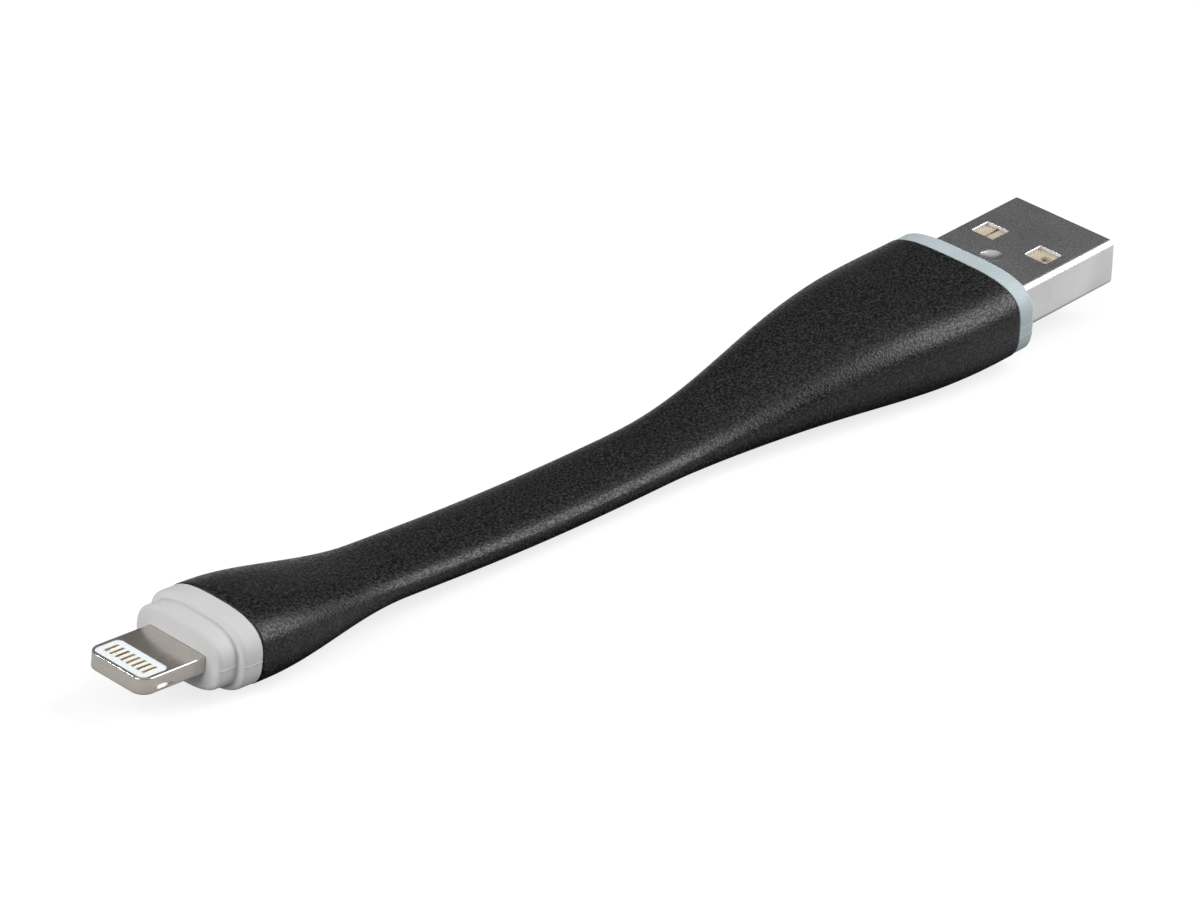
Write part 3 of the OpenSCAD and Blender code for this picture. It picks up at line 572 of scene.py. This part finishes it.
def sleeve_ring(s, inset=0.0):
    return ring_at(s, superellipse(half_w(s) - inset, half_h(s) - inset, square_n(s)), camber(s))


def lead_camber(s):
    """The lead runs level in both moulds and follows the sleeve's camber between them."""
    free, level = HOST_MOULD_END + LEAD_FREE, TAB_ROOT - DEVICE_MOULD_END
    if s >= level:
        return 0.0
    return camber(s) * smooth((s - free) / LEAD_RISE) * smooth((level - s) / LEAD_RISE)


def lead_room(s):
    return ring_at(s, superellipse(JACKET_W / 2 + MOULD_FIT, JACKET_H / 2 + MOULD_FIT, CABLE_N),
                   lead_camber(s))


def mould_room(s, size):
    return ring_at(s, superellipse(size[0] / 2 + MOULD_FIT, size[1] / 2 + MOULD_FIT, MOULD_N))


def neck_span(k):
    start = FLEX_START + k * FLEX_PITCH
    return start, start + FLEX_PITCH


def bend_at(piece):
    """Bakes the placement of a piece of the neck into its mesh."""
    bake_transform(piece)


def host_grip():
    behind = HOST_MOULD_END + MOULD_FIT
    first = SLEEVE_START + END_ROUND + LAND
    outer = [sleeve_ring(s, d) for s, d in rounded_start(SLEEVE_START, END_ROUND, END_STEPS)]
    outer += [sleeve_ring(s) for s in spread(first, FLEX_START, GRIP_RINGS[0])]
    inner = [mould_room(s, HOST_MOULD) for s in (SLEEVE_START, behind)]
    inner += [lead_room(s) for s in spread(behind, FLEX_START, ROOM_RINGS[0])]
    return tube("sleeve_host_grip_moulding", outer, inner)


def device_grip():
    before = TAB_ROOT - DEVICE_MOULD_END - MOULD_FIT
    last = SLEEVE_END - END_ROUND - LAND
    outer = [sleeve_ring(s) for s in spread(FLEX_END, last, GRIP_RINGS[1])]
    outer += [sleeve_ring(s, d) for s, d in rounded_end(SLEEVE_END, END_ROUND, END_STEPS)]
    inner = [lead_room(s) for s in spread(FLEX_END, before, ROOM_RINGS[1])]
    inner += [mould_room(s, DEVICE_MOULD) for s in (before, SLEEVE_END)]
    return tube("sleeve_device_grip_moulding", outer, inner)


def make_sleeve():
    """One moulding in twelve pieces: two grips, and a piece of neck across each hinge."""
    dress(host_grip(), "sleeve_rubber", "host_end", "sleeve_host_grip")
    for k in range(HINGES):
        stations = spread(*neck_span(k), NECK_RINGS)
        piece = tube("sleeve_neck_moulding_%d" % (k + 1), [sleeve_ring(s) for s in stations],
                     [lead_room(s) for s in stations])
        hidden = ["sleeve_neck_%d" % i for i in (k, k + 1) if 1 <= i < HINGES]
        hidden += ["sleeve_host_grip"] * (k == 0) + ["sleeve_device_grip"] * (k == HINGES - 1)
        dress(piece, "sleeve_rubber", None, *hidden)
        bend_at(piece)
    dress(device_grip(), "sleeve_rubber", "device_end", "sleeve_device_grip")


# ---- collars -------------------------------------------------------------------------------
HOST_RIBS, DEVICE_RIBS = (0.0, -1.0), (0.0,)
HOST_EASE, DEVICE_EASE = 0.09, 0.08      # bevel where a collar meets the sleeve
COLLAR_LAND = 0.1                        # from a round to the first plain ring
COLLAR_RINGS = 4                         # steps along a plain stretch
CREASE, CREASE_W, CREASE_H = 0.25, 0.6, 0.4    # round between the steps, its share each way
TAB_ROOM_R = 0.2                         # corner radius of the tab's hole


def hole(width, height, r, angles):
    """A collar's hole, with its points at the same angles as the outside."""
    return even_points(arc_rect(width / 2 + SMALL_FIT, height / 2 + SMALL_FIT, r), angles)


def make_host_collar():
    a, b = HOST_GRIP_W / 2 - HOST_COLLAR_STEP, HOST_GRIP_H / 2 - HOST_COLLAR_STEP
    angles = rib_angles(b, HOST_RIBS)
    first = HOST_EXPOSED + HOST_COLLAR_R + COLLAR_LAND
    rings = rounded_start(HOST_EXPOSED, HOST_COLLAR_R)
    rings += [(s, 0.0) for s in spread(first, SLEEVE_START - HOST_EASE, COLLAR_RINGS)]
    rings += [(SLEEVE_START, HOST_EASE)]
    room = hole(*HOST_SHELL, angles)
    collar = tube("host_collar_ring",
                  [ring_at(s, ribbed(a - d, b - d, HOST_GRIP_N, angles, HOST_RIBS))
                   for s, d in rings],
                  [ring_at(s, room) for s in (HOST_EXPOSED, SLEEVE_START)])
    dress(collar, "host_collar_plastic", "host_end", "host_collar")


def make_device_collar():
    """Two steps with a soft crease between them. Its rings are stations and two insets."""
    a, b = DEVICE_GRIP_W / 2 - DEVICE_COLLAR_STEP, DEVICE_GRIP_H / 2 - DEVICE_COLLAR_STEP
    angles = rib_angles(b, DEVICE_RIBS)
    step_at = SLEEVE_END + DEVICE_STEP_L
    rear = spread(SLEEVE_END + LAND, step_at - DEVICE_STEP_R - COLLAR_LAND, COLLAR_RINGS)
    front = spread(step_at + CREASE + COLLAR_LAND, TAB_ROOT - DEVICE_FRONT_R - COLLAR_LAND,
                   COLLAR_RINGS)
    rings = [(SLEEVE_END, DEVICE_EASE, DEVICE_EASE), (SLEEVE_END + DEVICE_EASE, 0.0, 0.0)]
    rings += [(s, 0.0, 0.0) for s in rear]
    rings += [(s, d, d) for s, d in rounded_end(step_at, DEVICE_STEP_R)[:-1]]
    rings += [(s, DEVICE_IN_W - d * CREASE_W, DEVICE_IN_H - d * CREASE_H)
              for s, d in rounded_start(step_at, CREASE)]
    rings += [(s, DEVICE_IN_W, DEVICE_IN_H) for s in front]
    rings += [(s, DEVICE_IN_W + d, DEVICE_IN_H + d)
              for s, d in rounded_end(TAB_ROOT, DEVICE_FRONT_R)]
    room = hole(TAB_W, TAB_T, TAB_ROOM_R, angles)
    collar = tube("device_collar_ring",
                  [ring_at(s, ribbed(a - dw, b - dh, DEVICE_GRIP_N, angles, DEVICE_RIBS))
                   for s, dw, dh in rings],
                  [ring_at(s, room) for s in (SLEEVE_END, TAB_ROOT)])
    dress(collar, "device_collar_plastic", "device_end", "device_collar")


# ---- host plug -----------------------------------------------------------------------------
SHELL_W, SHELL_H, SHELL_R = HOST_SHELL[0] / 2, HOST_SHELL[1] / 2, HOST_SHELL[2]
WINDOW_W, WINDOW_L, WINDOW_AT, WINDOW_PITCH, WINDOW_R = 2.5, 2.25, 5.5, 6.3, 0.1
DIMPLE_AT, DIMPLE_R, DIMPLE_DEPTH, DIMPLE_STEPS, DIMPLE_SIDES = 10.1, 1.1, 0.25, 16, 64
BOSS = ((0.0, 0.05), (0.1, 0.2), (0.4, 0.25))    # the dimple inside: height, extra radius
SEAM_W = 0.08
RIM_R, PUNCH_R = 0.13, 0.05              # rounds of the folded rim and of punched edges
RIM_INSIDE = 0.5                         # the inner round of the rim against the outer one
OVER = 0.4                               # how far a cutting tool runs past what it cuts
PUNCH_STEPS = (0, 20, 40, 60, 80)        # degrees along the round of a punched edge
BY_WINDOW, UPRIGHT = 0.2, 0.5            # a sheared wall is this near a window, and this steep
TONGUE_ROUND = 0.06


def plan_ring(z, side, points):
    """Points given as station and y, at a height above or below the plug's middle."""
    ring = [at(s, y, side * z) for s, y in points]
    return ring if side > 0 else ring[::-1]


def punch(side, z0, face, outline_at):
    """A tool that cuts a hole from z0 up to a face, with a small round at its rim."""
    steps = [math.radians(q) for q in PUNCH_STEPS]
    levels = [(z0, 0.0)] + [(face - PUNCH_R * (1 - math.sin(q)), PUNCH_R * (1 - math.cos(q)))
                            for q in steps]
    levels.append((face + OVER, levels[-1][1]))
    return tube("tool", [plan_ring(z, side, outline_at(grow)) for z, grow in levels])


def window_outline(y):
    """A window's outline, grown by what it is called with."""
    def outline(grow):
        rect = arc_rect(WINDOW_L / 2 + grow, WINDOW_W / 2 + grow, WINDOW_R + grow, steps=4)
        return [(WINDOW_AT + WINDOW_L / 2 + p, y + q) for p, q in rect]
    return outline


def disc(r):
    return circle(DIMPLE_AT, 0.0, r, DIMPLE_SIDES)


def dish_tool(side):
    ball = (DIMPLE_R ** 2 + DIMPLE_DEPTH ** 2) / (2 * DIMPLE_DEPTH)
    radii = spread(0, DIMPLE_R, DIMPLE_STEPS)[1:]
    levels = [(SHELL_H - DIMPLE_DEPTH + ball - math.sqrt(ball ** 2 - r * r), r) for r in radii]
    levels.append((SHELL_H + OVER, DIMPLE_R + OVER))
    return tube("tool", [plan_ring(z, side, disc(r)) for z, r in levels])


def boss(side):
    low = SHELL_H - HOST_WALL - DIMPLE_DEPTH
    return tube("tool", [plan_ring(low + rise, side, disc(DIMPLE_R + wider))
                         for rise, wider in BOSS])


def seam_tool(s0, s1):
    half, low, high = SEAM_W / 2, -SHELL_H - OVER, -SHELL_H + HOST_WALL + OVER / 4
    corners = ((-half, low), (half, low), (half, high), (-half, high))
    return tube("tool", [ring_at(s, corners) for s in (s0, s1)])


def shell_ring(s, inset):
    return ring_at(s, arc_rect(SHELL_W - inset, SHELL_H - inset, SHELL_R - inset))


def brighten_sheared_walls(shell):
    """The sheared walls of the windows are brighter than the rolled sheet."""
    shell.data.materials.append(MATERIALS["sheared_steel"])
    plug_axis, plug_up, origin = tilt((-1, 0, 0)), tilt((0, 0, 1)), at(0, 0, 0)
    for poly in shell.data.polygons:
        spot = poly.center - origin
        s, y = spot.dot(plug_axis) / MM, abs(spot.y / MM)
        by_window = (WINDOW_AT - BY_WINDOW < s < WINDOW_AT + WINDOW_L + BY_WINDOW
                     and abs(y - WINDOW_PITCH / 2) < WINDOW_W / 2 + BY_WINDOW)
        upright = abs(poly.normal.dot(plug_up)) < UPRIGHT
        if by_window and upright and y < SHELL_W - SHELL_R:
            poly.material_index = 1


def make_host_plug():
    """The folded shell, with two windows, a dimple and its boss on both faces, and the tongue."""
    end = HOST_EXPOSED + HOST_HELD
    rim = rounded_start(0.0, RIM_R)
    outer = [shell_ring(s, d) for s, d in rim + [(end, 0.0)]]
    inner = [shell_ring(s, HOST_WALL - d * RIM_INSIDE) for s, d in rim + [(end, 0.0)]]
    shell = tube("host_shell_folded", outer, inner)
    for side in (1, -1):
        cut(shell, boss(side), keep=True)
        cut(shell, dish_tool(side))
        for y in (-WINDOW_PITCH / 2, WINDOW_PITCH / 2):
            cut(shell, punch(side, SHELL_H - HOST_WALL - OVER / 4, SHELL_H, window_outline(y)))
    cut(shell, seam_tool(-OVER, DIMPLE_AT - DIMPLE_R - HOST_WALL),
        seam_tool(DIMPLE_AT + DIMPLE_R + HOST_WALL, end + OVER))
    even_shading(shell)
    dress(shell, "shell_steel", "host_end", "host_shell")
    brighten_sheared_walls(shell)
    tongue = rounded_copy("host_tongue_moulded", "host_tongue", TONGUE_ROUND)
    dress(tongue, "cream_plastic", "host_end", "host_tongue")


# ---- tab plug ------------------------------------------------------------------------------
TAB_TIP_R, TAB_ROOT_R, TAB_EDGE_R = 1.2, 0.05, 0.13
TAB_TIP = TAB_ROOT + TAB_L
TAB_WINDOW_IN, TAB_WINDOW_L, TAB_WINDOW_W, TAB_WINDOW_R = 0.3, 2.95, 6.0, 0.6
LATCH_AT, LATCH_L, LATCH_DEPTH, LATCH_H = 2.45, 2.2, 0.2, 0.9
LATCH_SIDES = 180
BOARD_W, BOARD_T, BOARD_R = 5.5, 0.6, 0.02    # the room for the board
TAB_SMALL_ROUND = 0.03
TAB_MID = TAB_ROOT + (TAB_L - TAB_HELD) / 2
WINDOW_MID = TAB_TIP - TAB_WINDOW_IN - TAB_WINDOW_L / 2


def tab_ring(z, mid, half_l, half_across, radii, steps=10):
    return [at(mid + p, q, z) for p, q in arc_rect(half_l, half_across, radii, steps)]


def tab_level(z, inset):
    tip = TAB_TIP_R - inset
    return tab_ring(z, TAB_MID, (TAB_L + TAB_HELD) / 2 - inset, TAB_W / 2 - inset,
                    (tip, TAB_ROOT_R, TAB_ROOT_R, tip), steps=16)


def latch_tool(side):
    """A wide cylinder that cuts the shallow latch recess into one edge of the tab."""
    r = ((LATCH_L / 2) ** 2 + LATCH_DEPTH ** 2) / (2 * LATCH_DEPTH)
    outline = circle(TAB_TIP - LATCH_AT, side * (TAB_W / 2 + r - LATCH_DEPTH), r, LATCH_SIDES)
    return tube("tool", [[at(s, y, z) for s, y in outline] for z in (-LATCH_H / 2, LATCH_H / 2)])


def make_tab():
    top = TAB_T / 2
    edge = rounded_start(0.0, TAB_EDGE_R)
    levels = [(-top + d, inset) for d, inset in edge]
    levels += [(top - d, inset) for d, inset in reversed(edge)]
    tab = tube("tab_shell_cast", [tab_level(z, inset) for z, inset in levels])
    window = [tab_ring(z, WINDOW_MID, TAB_WINDOW_L / 2, TAB_WINDOW_W / 2, TAB_WINDOW_R)
              for z in (-top - OVER, top + OVER)]
    board_room = [ring_at(s, arc_rect(BOARD_W / 2, BOARD_T / 2, BOARD_R, steps=2))
                  for s in (TAB_ROOT - TAB_HELD - OVER, WINDOW_MID)]
    cut(tab, tube("tool", window), tube("tool", board_room), latch_tool(1), latch_tool(-1))
    dress(even_shading(tab), "tab_nickel", "device_end", "tab_shell")
    for face in ("top", "bottom"):
        carrier, contacts = "tab_carrier_" + face, "tab_contacts_" + face
        dress(rounded_copy(carrier + "_moulded", carrier, TAB_SMALL_ROUND), "tab_white",
              "device_end", carrier)
        dress(rounded_copy(contacts + "_plated", contacts, TAB_SMALL_ROUND), "contact_gold",
              "device_end", contacts)


# ---- inner lead ----------------------------------------------------------------------------
WIRES = ("power", "data_minus", "data_plus", "ground")
LEAD_NODES = ["cable_jacket", "foil_shield"]
LEAD_NODES += ["wire_%s_insulation" % wire for wire in WIRES]
LEAD_NODES += ["wire_%s_core" % wire for wire in WIRES]
LEAD_NODES += ["drain_wire", "strength_fibre"]
LEAD_SLOTS = ["jacket_plastic", "foil", "red_insulation", "white_insulation", "green_insulation",
              "black_insulation", "copper", "tinned_copper", "fibre"]
JACKET, FOIL, FIRST_WIRE, CORES, DRAIN, FIBRE = 0, 1, 2, 6, 7, 8    # places in LEAD_SLOTS
LANES = (1.5, 0.5, -0.5, -1.5)           # the wires' places across the lead, in pitches
CONTACT_Y = (3.5, 1.0, -1.0, -3.5)
PAD_PITCH = 1.5
CLAMP_L, CLAMP_TO_END = 2.4, 1.5         # the clamp in the host mould, and its place
PAST_CLAMP, IN_MOULD = 0.6, 0.7          # how far the jacket goes on at the host and tab ends
HOST_GATHER, DEVICE_GATHER = 0.3, 0.2    # from the jacket's ends to where the wires spread
LEAD_START = HOST_MOULD_END - CLAMP_TO_END - CLAMP_L - PAST_CLAMP
LEAD_END = TAB_ROOT - DEVICE_MOULD_END + IN_MOULD
FAN_TO, FAN_BACK = LEAD_START - HOST_GATHER, LEAD_END + DEVICE_GATHER
HOST_STRIP, HOST_CORE = 18.0, 16.42      # where the insulation and the cores start
DEVICE_STRIP, DEVICE_CORE = TAB_ROOT - 11.9, TAB_ROOT - 10.6    # and where they end
HOST_WIRE_Z, DEVICE_WIRE_Z = -0.24, 0.54    # heights at which the wires are joined
LEAD_STEP, LEAD_SIDES, WIRE_SIDES, STRAND_SIDES = 0.6, 32, 12, 10
NOTHING = 1e-6                           # a stretch shorter than this is none


def flat_ring(s, inset):
    return ring_at(s, superellipse(JACKET_W / 2 - inset, JACKET_H / 2 - inset, CABLE_N,
                                   LEAD_SIDES), lead_camber(s))


def wire_ring(i, s, r):
    """A wire's ring: it fans out to its contact at the host end and its pad at the other."""
    host_share = 1 - smooth((s - HOST_STRIP) / (FAN_TO - HOST_STRIP))
    device_share = smooth((s - FAN_BACK) / (DEVICE_STRIP - FAN_BACK))
    lane = LANES[i] * WIRE_PITCH
    y = (lane + (CONTACT_Y[i] - lane) * host_share
         + LANES[i] * (PAD_PITCH - WIRE_PITCH) * device_share)
    z = lead_camber(s) + HOST_WIRE_Z * host_share + DEVICE_WIRE_Z * device_share
    return ring_at(s, circle(y, z, r, WIRE_SIDES))


def strand_ring(s, side):
    """The drain wire lies above the four wires and the fibre below them."""
    off = JACKET_H / 2 - JACKET_WALL - 2 * SMALL_FIT - FOIL_T - DRAIN_D / 2
    return ring_at(s, circle(0.0, lead_camber(s) + side * off, DRAIN_D / 2, STRAND_SIDES))


def clipped(low, high, s0, s1):
    """Stations of the stretch from low to high that lies between s0 and s1."""
    p, q = max(low, s0), min(high, s1)
    return spread(p, q, max(1, math.ceil((q - p) / LEAD_STEP))) if q - p > NOTHING else []


def lead_piece(name, s0, s1):
    """What the sleeve holds between two stations, as one piece with a slot for each material."""
    bm = bmesh.new()
    held = clipped(LEAD_START, LEAD_END, s0, s1)
    cover = clipped(HOST_STRIP, DEVICE_STRIP, s0, s1)
    bare = clipped(HOST_CORE, DEVICE_CORE, s0, s1)
    foil = JACKET_WALL + SMALL_FIT
    if held:
        add_tube(bm, [flat_ring(s, 0) for s in held], [flat_ring(s, JACKET_WALL) for s in held],
                 JACKET)
        add_tube(bm, [flat_ring(s, foil) for s in held],
                 [flat_ring(s, foil + FOIL_T) for s in held], FOIL)
        add_tube(bm, [strand_ring(s, 1) for s in held], None, DRAIN)
        add_tube(bm, [strand_ring(s, -1) for s in held], None, FIBRE)
    for i in range(len(WIRES)):
        add_tube(bm, [wire_ring(i, s, WIRE_D / 2) for s in cover],
                 [wire_ring(i, s, CORE_D / 2 + SMALL_FIT) for s in cover], FIRST_WIRE + i)
        add_tube(bm, [wire_ring(i, s, CORE_D / 2) for s in bare], None, CORES)
    obj = object_from(bm, name)
    for slot in LEAD_SLOTS:
        obj.data.materials.append(MATERIALS[slot])
    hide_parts(*LEAD_NODES)
    return obj


def make_lead():
    """The lead inside the neck is one piece across each hinge, as the sleeve is."""
    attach(lead_piece("lead_in_host_grip", 0, FLEX_START), "host_end")
    for k in range(HINGES):
        bend_at(lead_piece("lead_in_neck_%d" % (k + 1), *neck_span(k)))
    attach(lead_piece("lead_in_device_grip", FLEX_END, TAB_ROOT), "device_end")


# ---- light, floor and surroundings ---------------------------------------------------------
# Each lamp: name, direction, distance (m), size (m), power (W), the way its second size runs.
LAMPS = (
    ("key", (0.63, -0.50, 0.59), 1.2, (0.62, 1.30), 13.0, (0, 0.765, 0.645)),
    ("front", (-0.92, 0.0, 0.39), 1.6, (0.8, 0.8), 15.0, (0, 0, 1)),
    ("rim", (-0.454, 0.590, 0.630), 1.3, (0.16, 0.16), 3.0, (0, 0, 1)),
)
FLOOR_REACH, FLOOR_DROP = 4.0, 0.00002   # half width, and how far it lies below the part, in m
FLOOR_ALBEDO, FLOOR_MIRRORED = 0.30, 0.03    # its grey level, and its near-black level in reflections, where the glow with its painted contact shade takes over
FLOOR_SEEN, FLOOR_GLOW = 0.77, 0.58      # its own glow for the camera and in reflections
PAINTED_CONTACT_SHADE = (2 * MM, 8 * MM)         # painted contact shade: the floor's glow in reflections darkens from the second distance down to the first
SKY_ENDS = ((0.38, 0.38, 0.385), (0.50, 0.50, 0.50))    # at the horizon and overhead
SKY_BETWEEN = ((0.26, 0.072), (0.6, 0.087), (0.88, 0.48))    # height above it, grey level
SKY_BLUE = 1.01                          # blue against red and green between the ends


def area_light(name, toward, distance, size, energy, long_way):
    """An oval softbox aimed at the object, its second size measured along long_way."""
    data = bpy.data.lights.new(name, "AREA")
    data.shape = "ELLIPSE"
    data.size, data.size_y = size
    data.energy = energy
    lamp = bpy.data.objects.new(name, data)
    bpy.context.scene.collection.objects.link(lamp)
    aim = Vector(toward).normalized()
    along = Vector(long_way)
    along = (along - aim * along.dot(aim)).normalized()
    lamp.matrix_world = facing(along.cross(aim), along, aim * distance)


def floor_material():
    """White to the camera, and pale in reflections, with a painted contact shade that darkens it
    in reflections close to what stands on it.
    """
    surface = Surface("floor", (FLOOR_ALBEDO,) * 3, rough=0.9, specular=0.0)
    tree = surface.tree
    path = add_node(tree, "LightPath").outputs
    for_camera = add_node(tree, "Math", {0: path["Is Camera Ray"], 1: FLOOR_SEEN},
                          operation="MULTIPLY")
    # painted contact shade: the glow seen in reflections fades out as the reflected ray gets
    # short
    painted_contact_shade = add_node(tree, "MapRange",
                        {"Value": path["Ray Length"], "From Min": PAINTED_CONTACT_SHADE[0],
                         "From Max": PAINTED_CONTACT_SHADE[1]}, interpolation_type="SMOOTHSTEP")
    in_metal = add_node(tree, "MapRange", {"Value": path["Is Glossy Ray"],
                                           "To Max": painted_contact_shade.outputs["Result"]})
    glow = add_node(tree, "Math", {0: in_metal.outputs["Result"], 1: FLOOR_GLOW,
                                   2: for_camera.outputs[0]}, operation="MULTIPLY_ADD")
    # in reflections the floor's lit colour is near black, so the painted contact shade stays dark
    # near the object
    base = add_node(tree, "MapRange", {"Value": path["Is Glossy Ray"],
                                       "To Min": FLOOR_ALBEDO, "To Max": FLOOR_MIRRORED})
    surface.set("Emission Color", (1, 1, 1, 1))
    surface.feed("Emission Strength", glow.outputs[0])
    surface.feed("Base Color", base.outputs["Result"])
    return surface.material


def make_floor():
    mesh = bpy.data.meshes.new("floor")
    r = FLOOR_REACH
    mesh.from_pydata([(-r, -r, 0), (r, -r, 0), (r, r, 0), (-r, r, 0)], [], [(0, 1, 2, 3)])
    mesh.materials.append(floor_material())
    floor = bpy.data.objects.new("floor", mesh)
    floor.location.z = -FLOOR_DROP
    bpy.context.scene.collection.objects.link(floor)


def make_world():
    """Grey surroundings, dark at middle heights as in a studio, that the camera sees as white."""
    world = bpy.data.worlds.new("world")
    bpy.context.scene.world = world
    world.use_nodes = True
    tree = world.node_tree
    tree.nodes.clear()
    height = add_node(tree, "SeparateXYZ", {0: add_node(tree, "TexCoord").outputs["Generated"]})
    ramp = add_node(tree, "ValToRGB", {"Fac": height.outputs["Z"]})
    sky = ramp.color_ramp
    sky.interpolation = "EASE"
    for element, position, color in zip(sky.elements, (0.0, 1.0), SKY_ENDS):
        element.position, element.color = position, (*color, 1)
    for position, level in SKY_BETWEEN:
        sky.elements.new(position).color = (level, level, level * SKY_BLUE, 1)
    ambient = add_node(tree, "Background", {"Color": ramp.outputs["Color"]})
    white = add_node(tree, "Background", {"Color": (1, 1, 1, 1)})
    path = add_node(tree, "LightPath").outputs
    seen = add_node(tree, "Math", {0: path["Is Camera Ray"], 1: path["Is Transmission Ray"]},
                    operation="MAXIMUM")
    mix = add_node(tree, "MixShader", {"Fac": seen.outputs[0], 1: ambient.outputs[0],
                                       2: white.outputs[0]})
    add_node(tree, "OutputWorld", {"Surface": mix.outputs[0]})


# ---- the whole scene -----------------------------------------------------------------------
make_camera()
finish_construction()
make_sleeve()
make_host_collar()
make_device_collar()
make_host_plug()
make_tab()
make_lead()
for lamp_values in LAMPS:
    area_light(*lamp_values)
make_floor()
make_world()
bpy.context.scene.view_settings.view_transform = "Standard"
